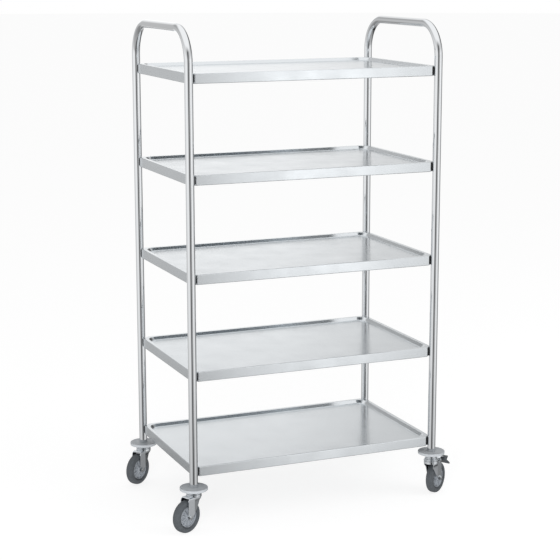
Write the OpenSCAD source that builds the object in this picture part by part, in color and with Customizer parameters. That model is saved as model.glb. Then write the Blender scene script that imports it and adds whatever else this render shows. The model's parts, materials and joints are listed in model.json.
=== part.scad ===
// Five-shelf service trolley: two bent tube end frames, five folded tray shelves bolted to the posts
// through plastic saddles, bumper discs and four swivel casters, two of them with a foot brake.
// Millimetres. +X runs along the shelves from handle to handle, -Y is the front, +Z is up.
// The origin is on the floor under the middle of the trolley.

/* [Frame] */
// Distance between the post axes along the shelves
post_span_x = 805; // [600:5:1100]
// Distance between the post axes from front to back
post_span_y = 490; // [360:5:640]
// Outside diameter of the frame tube
tube_d = 25.4; // [22:0.1:32]
// Wall of the frame tube
tube_wall = 1.2; // [1:0.1:2]
// Bend radius of the handle, at the tube's centre line
bend_r = 100; // [60:5:140]
// Height of the handle's centre line above the top shelf's bottom edge
handle_rise = 156; // [140:1:300]

/* [Shelves] */
// Gap between the higher bumper discs and the lowest shelf
first_shelf_gap = 17; // [10:1:120]
// Height from one shelf to the next
shelf_pitch = 293.5; // [200:0.5:360]
// Height of the down-turned lip around a shelf
lip_h = 30; // [26:1:50]
// Thickness of the shelf sheet
sheet = 1; // [0.8:0.1:1.5]
// Width of the flat rim around the sunk deck
rim_w = 12; // [10:0.5:20]
// Width of the sloped wall between rim and deck
slope_w = 8; // [4:0.5:12]
// Depth of the sunk deck below the rim
deck_drop = 9; // [5:0.5:14]
// Plan radius of the deck recess at the rim
recess_r = 35; // [30:1:60]
// Width of the hem folded in at the bottom of the lip
hem_w = 8; // [3:0.5:10]

/* [Corner fixing] */
// Distance along the diagonal from the post to the cut-off shelf corner, filled by the saddle
saddle_t = 1.5; // [1.4:0.1:8]
// Width of the plastic saddle between shelf corner and post
saddle_w = 22; // [18:1:24]
// Height of the saddle
saddle_h = 22; // [18:1:24]
// Thickness of the gusset plate behind the shelf corner
gusset_t = 2.5; // [1.5:0.5:3]
// Diameter of the corner bolt
bolt_d = 6; // [5:1:6]
// Width across flats of the corner bolt's head
bolt_head_af = 10; // [8:1:10]
// Height of the corner bolt's head
bolt_head_h = 4; // [3:0.5:4]
// Thickness of the washer under the bolt head
washer_t = 1.2; // [0.8:0.1:1.6]

/* [Bumper discs] */
// Diameter of the bumper disc
disc_d = 85; // [76:1:110]
// Height of the whole disc
disc_h = 12; // [10:0.5:16]
// Height of the disc's upright edge
disc_edge_h = 5; // [3:0.5:6]
// Diameter of the disc's flat underside
disc_foot_d = 54; // [50:1:60]
// Depth of the pocket that the post stands in
pocket_h = 7; // [5:0.5:8]

/* [Casters] */
// Diameter of the wheel over the tyre
wheel_d = 100; // [90:1:120]
// Width of the tyre
tyre_w = 26; // [22:1:32]
// Radius of the tyre's round shoulder
shoulder_r = 9; // [6:0.5:10]
// Diameter at which the tyre grips the wheel centre
seat_d = 68; // [60:1:72]
// Distance from the swivel axis to the axle
trail = 33; // [30:1:36]
// Height from the top of the wheel to the bumper disc
head_h = 22; // [22:1:40]
// Sheet thickness of the fork
fork_t = 2.5; // [2:0.5:3]
// Diameter of the fork's crown
crown_d = 47; // [46:1:50]
// Diameter of the kingpin
kingpin_d = 10; // [8:1:10]
// Diameter of the axle bolt
axle_d = 8; // [6:1:8]
// Height of the collar that lifts the bumper disc of a braked caster
collar_h = 13; // [8:1:15]
// Diameter of that collar
collar_d = 38; // [30:1:44]
// Number of ribs on each side of the wheel centre
rib_count = 10; // [6:1:12]
// Directions in which the four casters trail: front left, front right, back left, back right
trail_angles = [205.7, 34.8, 214.4, 165];

/* [Brakes] */
// Travel of the brake pedal
brake_travel = 10; // [6:1:10]
// Width of the brake's foot pad
brake_pad_w = 40; // [34:1:44]
// Diameter of the brake's pivot pin
brake_pin_d = 6; // [4:1:6]

/* [Fits] */
// Radial clearance of a turning fit
running_gap = 0.06; // [0.02:0.01:0.1]
// Clearance between pieces that are pushed together
seat_gap = 0.1; // [0.05:0.05:0.2]
// Clearance between a swivelling race and its balls
ball_gap = 0.15; // [0.1:0.05:0.2]
// Radial clearance of a bolt in a plain hole
bolt_gap = 0.3; // [0.2:0.1:0.5]

/* [Hidden] */
// Corners in the order of trail_angles: name, side along X, side along Y, with a brake or not.
corners = [["fl", -1, -1, false], ["fr", 1, -1, true], ["bl", -1, 1, false], ["br", 1, 1, true]];
corner_ids = [0 : len(corners) - 1];
shelf_count = 5;
// Pieces that there are one of, or one group of.
single_nodes = [
    "left_end_frame", "right_end_frame",
    "gusset_plates", "post_saddles", "corner_bolts", "corner_washers", "rivet_nuts",
    "tube_expanders", "cone_nuts", "kingpins",
    "brake_collars", "upper_races", "upper_balls", "lower_balls", "lower_races"
];
// Pieces of every corner, and those of the corners with a brake.
corner_nodes = ["bumper_disc", "fork", "axle_bolt", "axle_nut", "axle_sleeve", "wheel_centre", "tyre"];
brake_nodes = ["brake_lever", "brake_pad", "brake_pin"];
$fn = 96;

// A cut runs this far past the face that it opens.
past = 1;
tube_r = tube_d / 2;
bore_r = tube_r - tube_wall;
caster_h = wheel_d + head_h;
disc_top_z = caster_h + disc_h;
disc_chamfer = 1.5;
tube_foot_z = disc_top_z - pocket_h;

// Heights of the shelves' bottom edges, the lowest first, and of the handle.
shelf_z = [for (i = [0 : shelf_count - 1]) disc_top_z + collar_h + first_shelf_gap + i * shelf_pitch];
handle_z = shelf_z[shelf_count - 1] + handle_rise;
bend_z = handle_z - bend_r;

// Distances along the corner diagonal, from the post axis inwards.
bolt_r = bolt_d / 2;
bolt_hole_r = bolt_r + bolt_gap;
flange_t = 1.2;
flange_w = 3;
flange_r = bolt_r + flange_w;
nut_wall = 1.5;
nut_body_r = bolt_r + nut_wall;
nut_body_len = 9;
flange_s = tube_r + flange_t;
corner_s = tube_r + saddle_t;
corner_cut = corner_s * sqrt(2);
gusset_s = corner_s + sheet;
washer_s = gusset_s + gusset_t;
head_s = washer_s + washer_t;
gusset_w = saddle_w + 2;

// Heights inside the caster head, counted down from the disc's underside.
race_t = 2.4;
race_r = 24;
race_skirt_t = 2;
race_skirt_gap = 0.5;
upper_ball_r = 3;
upper_pitch_r = 16;
lower_ball_r = 2.5;
lower_pitch_r = 11;
ball_sink = 0.8;
ball_count = 12;
race_plate_z = caster_h - race_t;
upper_ball_z = race_plate_z + ball_sink - upper_ball_r;
crown_top_z = upper_ball_z - upper_ball_r + ball_sink;
crown_roof_z = crown_top_z - fork_t;
lower_ball_z = crown_roof_z + ball_sink - lower_ball_r;
lower_race_top_z = lower_ball_z - lower_ball_r + ball_sink;
lower_race_t = 2.4;
lower_race_r = 15;
kingpin_r = kingpin_d / 2;
kingpin_head_r = 9;
kingpin_head_low_r = 7.5;
kingpin_head_t = 3;
kingpin_head_z = lower_race_top_z - lower_race_t - kingpin_head_t;
crown_r = crown_d / 2;
crown_wall = 3;
crown_rise = 6;
plate_top_z = crown_top_z - crown_rise;
plate_z = plate_top_z - fork_t;

// Expander in the tube end.
expander_h = 26;
cone_h = 8;
cone_wall = 1.5;
cone_tip_r = kingpin_r + cone_wall;
cone_top_r = bore_r - cone_wall;
cone_cap_h = 4;
cone_z = tube_foot_z + expander_h - cone_h;
kingpin_end = 2;
kingpin_top_z = tube_foot_z + expander_h + cone_cap_h + kingpin_end;

// Wheel.
wheel_r = wheel_d / 2;
seat_r = seat_d / 2;
axle_r = axle_d / 2;
sleeve_wall = 2;
sleeve_r = axle_r + sleeve_wall;
cheek_gap = 2.3;
cheek_y = tyre_w / 2 + cheek_gap;
fork_half_w = cheek_y + fork_t;
barrel_wall = 5;
barrel_r = sleeve_r + barrel_wall;
barrel_gap = 0.5;
barrel_half = cheek_y - barrel_gap;
web_t = 5;
rim_t = 4;
rim_inset = 3;
rim_half = tyre_w / 2 - rim_inset;
rib_t = 2;
rib_inset = 1;
rib_half = rim_half - rib_inset;
tyre_notch_r = 2;
nut_af = 13;
nut_h = 4.5;
axle_head_h = 5;
thread_end = 1.5;
fork_end_r = 9;

// Brake, in the caster's own plane: x along the trail, z up.
pin_r = brake_pin_d / 2;
pivot_x = trail + 1;
pivot_z = wheel_d + 8;
lug_wall = 3;
lug_r = pin_r + lug_wall;
hub_wall = 2.5;
hub_r = pin_r + hub_wall;
hub_room = 2;
lever_gap = 0.6;
lever_half = cheek_y - lever_gap;
shoe_half = tyre_w / 3;
shoe_gap = 0.3;
pad_gap = 1.5;
rivet_head_t = 1.5;
rivet_head_r = pin_r + rivet_head_t;

// Outline of a shelf with its corners cut off, shrunk by inset on every side.
function cut_outline(inset) =
    let (x = post_span_x / 2 - inset, y = post_span_y / 2 - inset, c = corner_cut - inset * (2 - sqrt(2)))
    [[x - c, -y], [x, c - y], [x, y - c], [x - c, y], [c - x, y], [-x, y - c], [-x, c - y], [c - x, -y]];

// How much higher the disc and the post's foot stand at a corner that has a brake.
function lift(c) = c[3] ? collar_h : 0;

// Puts its children at one post, with +X pointing along the diagonal to the middle of the shelf.
module at_post(c) {
    translate([c[1] * post_span_x / 2, c[2] * post_span_y / 2, 0])
        rotate([0, 0, atan2(-c[2], -c[1])])
            children();
}

// Puts its children at every shelf corner, level with the middle of the lip.
module at_shelf_corners() {
    for (c = corners, z = shelf_z)
        at_post(c)
            translate([0, 0, z + lip_h / 2])
                children();
}

// A cylinder along +X, from x = a to x = b.
module rod_x(r, a, b) {
    translate([a, 0, 0])
        rotate([0, 90, 0])
            cylinder(r = r, h = b - a);
}

// A cylinder along Y, from y = a to y = b.
module rod_y(r, a, b) {
    translate([0, b, 0])
        rotate([90, 0, 0])
            cylinder(r = r, h = b - a);
}

// A hexagonal bar along +X, from x = a to x = b.
module hex_x(af, a, b) {
    translate([a, 0, 0])
        rotate([0, 90, 0])
            cylinder(d = af / cos(30), h = b - a, $fn = 6);
}

// Extrudes an outline drawn in the caster's plane (x along the trail, z up) from y = a to y = b.
module side_plate(a, b) {
    translate([0, b, 0])
        rotate([90, 0, 0])
            linear_extrude(b - a)
                children();
}

// Puts its children under post i, with +X pointing the way the caster trails.
module at_caster(i) {
    translate([corners[i][1] * post_span_x / 2, corners[i][2] * post_span_y / 2, 0])
        rotate([0, 0, trail_angles[i]])
            children();
}

module at_axle(i) {
    at_caster(i)
        translate([trail, 0, wheel_r])
            children();
}

// The bent tube of one end as a solid of radius r, whose posts start this far below their feet.
module bent_bar(end, r, below) {
    y = post_span_y / 2;
    for (c = corners)
        if (c[1] == end)
            translate([0, c[2] * y, tube_foot_z + lift(c) - below])
                cylinder(r = r, h = bend_z - tube_foot_z - lift(c) + below);
    for (side = [-1, 1])
        translate([0, side * (y - bend_r), bend_z])
            rotate([90, 0, side * 90])
                rotate_extrude(angle = 90)
                    translate([bend_r, 0])
                        circle(r = r);
    translate([0, 0, handle_z])
        rod_y(r, bend_r - y, y - bend_r);
}

// One end frame: a round tube bent to an upside-down U, drilled for its rivet nuts.
module end_frame(side) {
    color([0.78, 0.79, 0.8])
        difference() {
            translate([side * post_span_x / 2, 0, 0])
                difference() {
                    bent_bar(side, tube_r, 0);
                    bent_bar(side, bore_r, past);
                }
            at_shelf_corners()
                rod_x(nut_body_r + seat_gap, 0, tube_r + past);
        }
}

module left_end_frame() { end_frame(-1); }
module right_end_frame() { end_frame(1); }

// The sunk space of a deck: round corners, sloped walls, grown outwards and downwards by extra.
module recess(extra) {
    top_r = recess_r + extra;
    low_r = recess_r - slope_w + extra;
    x = post_span_x / 2 - rim_w - recess_r;
    y = post_span_y / 2 - rim_w - recess_r;
    // The grown space, which the sheet is left around, also reaches a sheet lower.
    low = lip_h - deck_drop - (extra > 0 ? sheet : 0);
    rise = lip_h - low;
    for (sx = [-1, 1], sy = [-1, 1])
        translate([sx * x, sy * y, low])
            cylinder(r1 = low_r, r2 = top_r, h = rise);
    translate([-x, 0, low])
        rotate([90, 0, 90])
            linear_extrude(2 * x)
                polygon([[-y - low_r, 0], [y + low_r, 0], [y + top_r, rise], [-y - top_r, rise]]);
    translate([0, y, low])
        rotate([90, 0, 0])
            linear_extrude(2 * y)
                polygon([[-x - low_r, 0], [x + low_r, 0], [x + top_r, rise], [-x - top_r, rise]]);
}

// One tray shelf: rim, sunk deck, down-turned lip with a folded hem, and cut-off corners.
module shelf(i) {
    // A sheet on the slope measures this much sideways.
    wall = sheet * 1.3;
    color([0.8, 0.81, 0.82])
        difference() {
            translate([0, 0, shelf_z[i]])
                difference() {
                    linear_extrude(lip_h)
                        polygon(cut_outline(0));
                    recess(0);
                    difference() {
                        translate([0, 0, sheet])
                            linear_extrude(lip_h - 2 * sheet)
                                polygon(cut_outline(sheet));
                        recess(wall);
                    }
                    translate([0, 0, -past])
                        linear_extrude(2 * past + sheet)
                            polygon(cut_outline(hem_w));
                }
            for (c = corners)
                at_post(c)
                    translate([0, 0, shelf_z[i] + lip_h / 2])
                        rod_x(bolt_hole_r, corner_s - past, gusset_s + past);
        }
}

// Plates welded behind the cut-off corners, which spread the bolts' load.
module gusset_plates() {
    color([0.6, 0.61, 0.62])
        at_shelf_corners()
            difference() {
                translate([gusset_s, -gusset_w / 2, -saddle_h / 2])
                    cube([gusset_t, gusset_w, saddle_h]);
                rod_x(bolt_hole_r, gusset_s - past, washer_s + past);
            }
}

// Plastic saddles, hollow on the post's side and flat on the shelf's side.
module post_saddles() {
    // The saddle's horns reach this far back round the post.
    back = tube_r * 0.8;
    front = corner_s - seat_gap / 2;
    color([0.12, 0.12, 0.13])
        at_shelf_corners()
            difference() {
                translate([back, -saddle_w / 2, -saddle_h / 2])
                    cube([front - back, saddle_w, saddle_h]);
                translate([0, 0, -saddle_h])
                    cylinder(r = tube_r + seat_gap, h = 2 * saddle_h);
                rod_x(flange_r + seat_gap, 0, corner_s + past);
            }
}

// Rivet nuts in the posts, each with a flange that is curved to the tube.
module rivet_nuts() {
    color([0.75, 0.7, 0.5])
        at_shelf_corners()
            difference() {
                union() {
                    rod_x(nut_body_r, flange_s - nut_body_len, flange_s);
                    difference() {
                        rod_x(flange_r, tube_r * 0.7, flange_s);
                        translate([0, 0, -flange_r - past])
                            cylinder(r = tube_r + seat_gap / 2, h = 2 * flange_r + 2 * past);
                    }
                }
                rod_x(bolt_r + seat_gap / 2, flange_s - nut_body_len - past, flange_s + past);
            }
}

module corner_bolts() {
    color([0.7, 0.71, 0.73])
        at_shelf_corners() {
            rod_x(bolt_r, flange_s - nut_body_len, head_s + bolt_head_h / 2);
            hex_x(bolt_head_af, head_s, head_s + bolt_head_h);
        }
}

module corner_washers() {
    color([0.7, 0.71, 0.73])
        at_shelf_corners()
            difference() {
                rod_x(bolt_head_af * 0.6, washer_s, head_s);
                rod_x(bolt_hole_r, washer_s - past, head_s + past);
            }
}

// Bumper disc: upright edge, sloped underside, and a pocket for the post.
module bumper_disc(i) {
    color([0.62, 0.64, 0.66])
        at_caster(i)
            translate([0, 0, lift(corners[i])])
                difference() {
                    rotate_extrude()
                        polygon([
                            [0, caster_h],
                            [disc_foot_d / 2, caster_h],
                            [disc_d / 2, disc_top_z - disc_edge_h],
                            [disc_d / 2, disc_top_z - disc_chamfer],
                            [disc_d / 2 - disc_chamfer, disc_top_z],
                            [0, disc_top_z]
                        ]);
                    translate([0, 0, tube_foot_z])
                        cylinder(r = tube_r + seat_gap, h = pocket_h + past);
                    translate([0, 0, caster_h - past])
                        cylinder(r = kingpin_r + bolt_gap, h = disc_h + past);
                }
}

// Plastic sleeves in the tube ends, with a cone-shaped mouth that the cone nut spreads.
module tube_expanders() {
    color([0.15, 0.15, 0.16])
        for (i = corner_ids)
            at_caster(i)
                translate([0, 0, tube_foot_z + lift(corners[i])])
                    difference() {
                        cylinder(r = bore_r - seat_gap, h = expander_h);
                        translate([0, 0, -past])
                            cylinder(r = kingpin_r + 2 * seat_gap, h = expander_h + 2 * past);
                        translate([0, 0, expander_h - cone_h])
                            cylinder(r1 = cone_tip_r + seat_gap, r2 = cone_top_r + seat_gap, h = cone_h);
                    }
}

module cone_nuts() {
    color([0.7, 0.71, 0.73])
        for (i = corner_ids)
            at_caster(i)
                translate([0, 0, cone_z + lift(corners[i])])
                    difference() {
                        union() {
                            cylinder(r1 = cone_tip_r, r2 = cone_top_r, h = cone_h);
                            translate([0, 0, cone_h])
                                cylinder(r = cone_top_r, h = cone_cap_h);
                        }
                        translate([0, 0, -past])
                            cylinder(r = kingpin_r + seat_gap / 2, h = cone_h + cone_cap_h + 2 * past);
                    }
}

// Kingpins: riveted head below the lower race, plain stem up into the cone nut.
module kingpins() {
    color([0.7, 0.71, 0.73])
        for (i = corner_ids)
            at_caster(i) {
                translate([0, 0, kingpin_head_z])
                    cylinder(r1 = kingpin_head_low_r, r2 = kingpin_head_r, h = kingpin_head_t);
                stem_z = kingpin_head_z + kingpin_head_t / 2;
                translate([0, 0, stem_z])
                    cylinder(r = kingpin_r, h = kingpin_top_z + lift(corners[i]) - stem_z);
            }
}

// Collars between the upper races and the bumper discs of the braked casters.
module brake_collars() {
    color([0.75, 0.76, 0.78])
        for (i = corner_ids)
            if (corners[i][3])
                at_caster(i)
                    translate([0, 0, caster_h])
                        difference() {
                            cylinder(d = collar_d, h = collar_h);
                            translate([0, 0, -past])
                                cylinder(r = kingpin_r + seat_gap, h = collar_h + 2 * past);
                        }
}

// A ring-shaped groove for balls of radius r on pitch radius p.
module ball_groove(r, p) {
    rotate_extrude()
        translate([p, 0])
            circle(r = r);
}

// Upper races: pressed cups fixed under the bumper discs.
module upper_races() {
    skirt_z = crown_top_z + race_skirt_gap;
    color([0.75, 0.76, 0.78])
        for (i = corner_ids)
            at_caster(i)
                difference() {
                    translate([0, 0, skirt_z])
                        cylinder(r = race_r, h = caster_h - skirt_z);
                    translate([0, 0, crown_top_z - past])
                        cylinder(r = race_r - race_skirt_t, h = race_plate_z - crown_top_z + past);
                    translate([0, 0, upper_ball_z])
                        ball_groove(upper_ball_r + seat_gap / 2, upper_pitch_r);
                    translate([0, 0, race_plate_z - past])
                        cylinder(r = kingpin_r + seat_gap, h = race_t + 2 * past);
                }
}

// A ring of balls of radius r on pitch radius p.
module ball_ring(r, p) {
    for (k = [0 : ball_count - 1])
        rotate([0, 0, k * 360 / ball_count])
            translate([p, 0, 0])
                sphere(r = r, $fn = 32);
}

module upper_balls() {
    color([0.8, 0.8, 0.8])
        for (i = corner_ids)
            at_caster(i)
                translate([0, 0, upper_ball_z])
                    ball_ring(upper_ball_r, upper_pitch_r);
}

module lower_balls() {
    color([0.8, 0.8, 0.8])
        for (i = corner_ids)
            at_caster(i)
                translate([0, 0, lower_ball_z])
                    ball_ring(lower_ball_r, lower_pitch_r);
}

module lower_races() {
    color([0.75, 0.76, 0.78])
        for (i = corner_ids)
            at_caster(i)
                difference() {
                    translate([0, 0, lower_race_top_z - lower_race_t])
                        cylinder(r = lower_race_r, h = lower_race_t);
                    translate([0, 0, lower_ball_z])
                        ball_groove(lower_ball_r + seat_gap / 2, lower_pitch_r);
                    translate([0, 0, lower_race_top_z - lower_race_t - past])
                        cylinder(r = kingpin_r + seat_gap, h = lower_race_t + 2 * past);
                }
}

// Outline of a fork cheek: wide at the crown, swept back to a round end at the axle. Its front edge
// starts just inside the crown's edge, curves back over the wheel and ends on the round end.
module cheek_outline(braked) {
    front = 1 - sqrt(crown_r * crown_r - fork_half_w * fork_half_w);
    polygon([
        [front, plate_top_z],
        [front, plate_top_z - 6],
        [-7, wheel_r + 38],
        [0, wheel_r + 25],
        [trail - 22, wheel_r + 10],
        [trail - fork_end_r * 0.6, wheel_r - fork_end_r * 0.6],
        [trail + fork_end_r * 0.9, wheel_r],
        [trail + 6, plate_z - 4],
        [trail, plate_top_z]
    ]);
    translate([trail, wheel_r])
        circle(r = fork_end_r);
    if (braked)
        translate([pivot_x, pivot_z])
            circle(r = lug_r);
}

// Pressed fork: raised crown with its ball grooves, top plate and two cheeks.
module fork(i) {
    braked = corners[i][3];
    color([0.72, 0.73, 0.75])
        at_caster(i)
            difference() {
                union() {
                    translate([0, 0, plate_z])
                        cylinder(r = crown_r, h = crown_top_z - plate_z);
                    translate([0, -fork_half_w, plate_z])
                        cube([trail, 2 * fork_half_w, fork_t]);
                    for (near = [cheek_y, -fork_half_w])
                        side_plate(near, near + fork_t)
                            cheek_outline(braked);
                }
                translate([0, 0, plate_z - past])
                    cylinder(r = crown_r - crown_wall, h = crown_roof_z - plate_z + past);
                translate([0, 0, crown_roof_z - past])
                    cylinder(r = kingpin_r + running_gap, h = fork_t + 2 * past);
                translate([0, 0, upper_ball_z])
                    ball_groove(upper_ball_r + ball_gap, upper_pitch_r);
                translate([0, 0, lower_ball_z])
                    ball_groove(lower_ball_r + ball_gap, lower_pitch_r);
                translate([trail, 0, wheel_r])
                    rod_y(axle_r + seat_gap / 2, -fork_half_w - past, fork_half_w + past);
                if (braked)
                    translate([pivot_x, 0, pivot_z])
                        rod_y(pin_r + seat_gap / 2, -fork_half_w - past, fork_half_w + past);
                if (braked)
                    translate([pivot_x - hub_r - hub_room, -cheek_y, plate_z - past])
                        cube([trail, 2 * cheek_y, fork_t + 2 * past]);
            }
}

// Puts its children at the axle, with +Y on the side that carries the nut: the one turned to the front.
module at_nut_side(i) {
    at_axle(i)
        mirror([0, cos(trail_angles[i]) > 0 ? 1 : 0, 0])
            children();
}

module axle_bolt(i) {
    color([0.7, 0.71, 0.73])
        at_nut_side(i) {
            rod_y(axle_r, -fork_half_w - axle_head_h / 2, fork_half_w + nut_h + thread_end);
            rotate([0, 0, -90])
                hex_x(nut_af, fork_half_w, fork_half_w + axle_head_h);
        }
}

module axle_nut(i) {
    color([0.7, 0.71, 0.73])
        at_nut_side(i)
            difference() {
                rotate([0, 0, 90])
                    hex_x(nut_af, fork_half_w, fork_half_w + nut_h);
                rod_y(axle_r + seat_gap / 2, fork_half_w - past, fork_half_w + nut_h + past);
            }
}

// Steel sleeve clamped between the cheeks; the wheel centre turns on it.
module axle_sleeve(i) {
    color([0.65, 0.66, 0.68])
        at_axle(i)
            difference() {
                rod_y(sleeve_r, -cheek_y, cheek_y);
                rod_y(axle_r + seat_gap / 2, -cheek_y - past, cheek_y + past);
            }
}

// Plastic wheel centre: barrel, web, rim and radial ribs.
module wheel_centre(i) {
    color([0.55, 0.57, 0.6])
        at_axle(i)
            difference() {
                union() {
                    rod_y(barrel_r, -barrel_half, barrel_half);
                    rod_y(seat_r - past, -web_t / 2, web_t / 2);
                    difference() {
                        rod_y(seat_r, -rim_half, rim_half);
                        rod_y(seat_r - rim_t, -rim_half - past, rim_half + past);
                    }
                    for (k = [0 : rib_count - 1])
                        rotate([0, k * 360 / rib_count, 0])
                            translate([barrel_r - past, -rib_half, -rib_t / 2])
                                cube([seat_r - rim_t - barrel_r + 2 * past, 2 * rib_half, rib_t]);
                }
                rod_y(sleeve_r + running_gap, -barrel_half - past, barrel_half + past);
            }
}

// Rubber tyre with round shoulders.
module tyre(i) {
    half = tyre_w / 2;
    color([0.3, 0.31, 0.33])
        at_axle(i)
            rotate([90, 0, 0])
                rotate_extrude()
                    difference() {
                        union() {
                            translate([seat_r, -half + shoulder_r])
                                square([wheel_r - seat_r, tyre_w - 2 * shoulder_r]);
                            translate([seat_r, -half])
                                square([wheel_r - shoulder_r - seat_r, tyre_w]);
                            for (side = [-1, 1])
                                translate([wheel_r - shoulder_r, side * (half - shoulder_r)])
                                    circle(r = shoulder_r);
                        }
                        translate([0, -half - past])
                            square([seat_r + seat_gap / 2, tyre_w + 2 * past]);
                        for (side = [-1, 1])
                            translate([seat_r, side * half])
                                circle(r = tyre_notch_r);
                    }
}

// What the pedal must stay clear of when it is pressed down, in the pedal's released position.
module wheel_sweep(gap) {
    translate([pivot_x, 0, pivot_z])
        rotate([0, -brake_travel, 0])
            translate([trail - pivot_x, 0, wheel_r - pivot_z])
                rod_y(wheel_r + gap, -brake_pad_w, brake_pad_w);
}

// The pedal's bent steel strip in the caster's plane: over the pivot and down into the foot pad.
module lever_outline() {
    translate([pivot_x, pivot_z])
        polygon([
            [-4, 2], [-3, 7.5], [8, 11.3], [30.2, 5.7], [39.4, -3.3],
            [37.5, -5], [28.8, 3.2], [8, 8.7], [0, 5.9], [4, 2]
        ]);
}

// The shoe's block in the caster's plane, before the tyre's round is cut out of it.
module shoe_outline() {
    translate([pivot_x, pivot_z])
        polygon([[0, 0], [2, -8], [13, -9], [14, -3], [5, 2]]);
}

// The foot pad in the caster's plane: a ramp with two toes, like a fish's tail.
module pad_outline() {
    translate([pivot_x, pivot_z])
        polygon([
            [22, -4], [26, -1], [36, 3], [46, 4], [48, 1],
            [38, -9], [48, -13], [62, -24], [60, -28], [46, -22], [26, -12.5]
        ]);
}

// Brake lever: pivot barrel, bent strip and the shoe that presses on the tyre.
module lever_solid() {
    difference() {
        union() {
            translate([pivot_x, 0, pivot_z])
                rod_y(hub_r, -lever_half, lever_half);
            side_plate(-lever_half, lever_half)
                lever_outline();
            side_plate(-shoe_half, shoe_half)
                shoe_outline();
        }
        wheel_sweep(shoe_gap);
        translate([pivot_x, 0, pivot_z])
            rod_y(pin_r + running_gap, -lever_half - past, lever_half + past);
    }
}

module brake_lever(i) {
    color([0.75, 0.76, 0.78])
        at_caster(i)
            lever_solid();
}

// Foot pad with a fishtail end, pushed over the lever's strip.
module brake_pad(i) {
    color([0.3, 0.31, 0.33])
        at_caster(i)
            difference() {
                side_plate(-brake_pad_w / 2, brake_pad_w / 2)
                    pad_outline();
                side_plate(-lever_half, lever_half)
                    lever_outline();
                wheel_sweep(pad_gap);
            }
}

module brake_pin(i) {
    color([0.7, 0.71, 0.73])
        at_caster(i)
            translate([pivot_x, 0, pivot_z]) {
                rod_y(pin_r, -fork_half_w - rivet_head_t / 2, fork_half_w + rivet_head_t / 2);
                rod_y(rivet_head_r, fork_half_w, fork_half_w + rivet_head_t);
                rod_y(rivet_head_r, -fork_half_w - rivet_head_t, -fork_half_w);
            }
}

left_end_frame();
right_end_frame();
for (i = [0 : shelf_count - 1])
    shelf(i);
gusset_plates();
post_saddles();
corner_bolts();
corner_washers();
rivet_nuts();
tube_expanders();
cone_nuts();
kingpins();
brake_collars();
upper_races();
upper_balls();
lower_balls();
lower_races();
for (i = corner_ids) {
    bumper_disc(i);
    fork(i);
    axle_bolt(i);
    axle_nut(i);
    axle_sleeve(i);
    wheel_centre(i);
    tyre(i);
    if (corners[i][3]) {
        brake_lever(i);
        brake_pad(i);
        brake_pin(i);
    }
}
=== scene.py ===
"""The looks of a five-shelf stainless service trolley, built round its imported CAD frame.

Every length is in metres, +X runs along the shelves, -Y is the front and +Z is up.
"""

import json
import math

import bmesh
import bpy
from bpy.props import FloatProperty, FloatVectorProperty, IntProperty, PointerProperty
from mathutils import Matrix, Quaternion, Vector


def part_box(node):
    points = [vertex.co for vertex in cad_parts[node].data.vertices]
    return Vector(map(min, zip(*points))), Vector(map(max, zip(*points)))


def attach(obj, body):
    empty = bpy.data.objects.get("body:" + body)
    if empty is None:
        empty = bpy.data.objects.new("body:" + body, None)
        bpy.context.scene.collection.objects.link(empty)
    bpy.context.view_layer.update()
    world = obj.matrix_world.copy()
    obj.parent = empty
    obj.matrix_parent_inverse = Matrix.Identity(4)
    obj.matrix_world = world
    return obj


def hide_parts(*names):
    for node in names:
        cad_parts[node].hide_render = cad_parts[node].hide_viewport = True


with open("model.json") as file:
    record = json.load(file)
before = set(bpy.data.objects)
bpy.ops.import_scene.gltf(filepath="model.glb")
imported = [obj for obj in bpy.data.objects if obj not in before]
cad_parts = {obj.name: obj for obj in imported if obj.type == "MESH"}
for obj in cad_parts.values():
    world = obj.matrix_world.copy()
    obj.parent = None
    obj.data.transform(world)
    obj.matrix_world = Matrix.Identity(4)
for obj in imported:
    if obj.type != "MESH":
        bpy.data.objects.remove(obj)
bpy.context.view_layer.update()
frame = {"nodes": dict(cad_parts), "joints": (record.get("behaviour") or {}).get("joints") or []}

bl_info = {
    "name": "Service trolley",
    "version": (1, 0, 0),
    "blender": (4, 5, 0),
    "location": "3D View > Sidebar > Trolley",
    "description": "Builds the looks of a five-shelf stainless service trolley round its CAD frame",
    "category": "Add Mesh",
}

MM = 0.001
# Fit between two pieces of the looks that touch, and round what turns in a bore.
SEAT_GAP, BORE_GAP = 0.05 * MM, 0.06 * MM

# ---------------------------------------------------------------------------
# Places taken from the CAD frame
# ---------------------------------------------------------------------------

CORNERS = ("fl", "fr", "bl", "br")
BRAKED = ("fr", "br")
JOINTS = {joint["name"]: joint for joint in frame["joints"]}
SHELVES = sorted(name for name in frame["nodes"] if name.startswith("shelf_"))

tube_low, tube_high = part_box("right_end_frame")
TUBE_R = (tube_high.x - tube_low.x) / 2
POST_X = tube_high.x - TUBE_R
POST_Y = tube_high.y - TUBE_R
HANDLE_Z = tube_high.z - TUBE_R

LIP_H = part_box("shelf_1")[1].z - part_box("shelf_1")[0].z
SHELF_Z = [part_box(name)[0].z for name in SHELVES]
SHELF_PITCH = SHELF_Z[1] - SHELF_Z[0]

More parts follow.
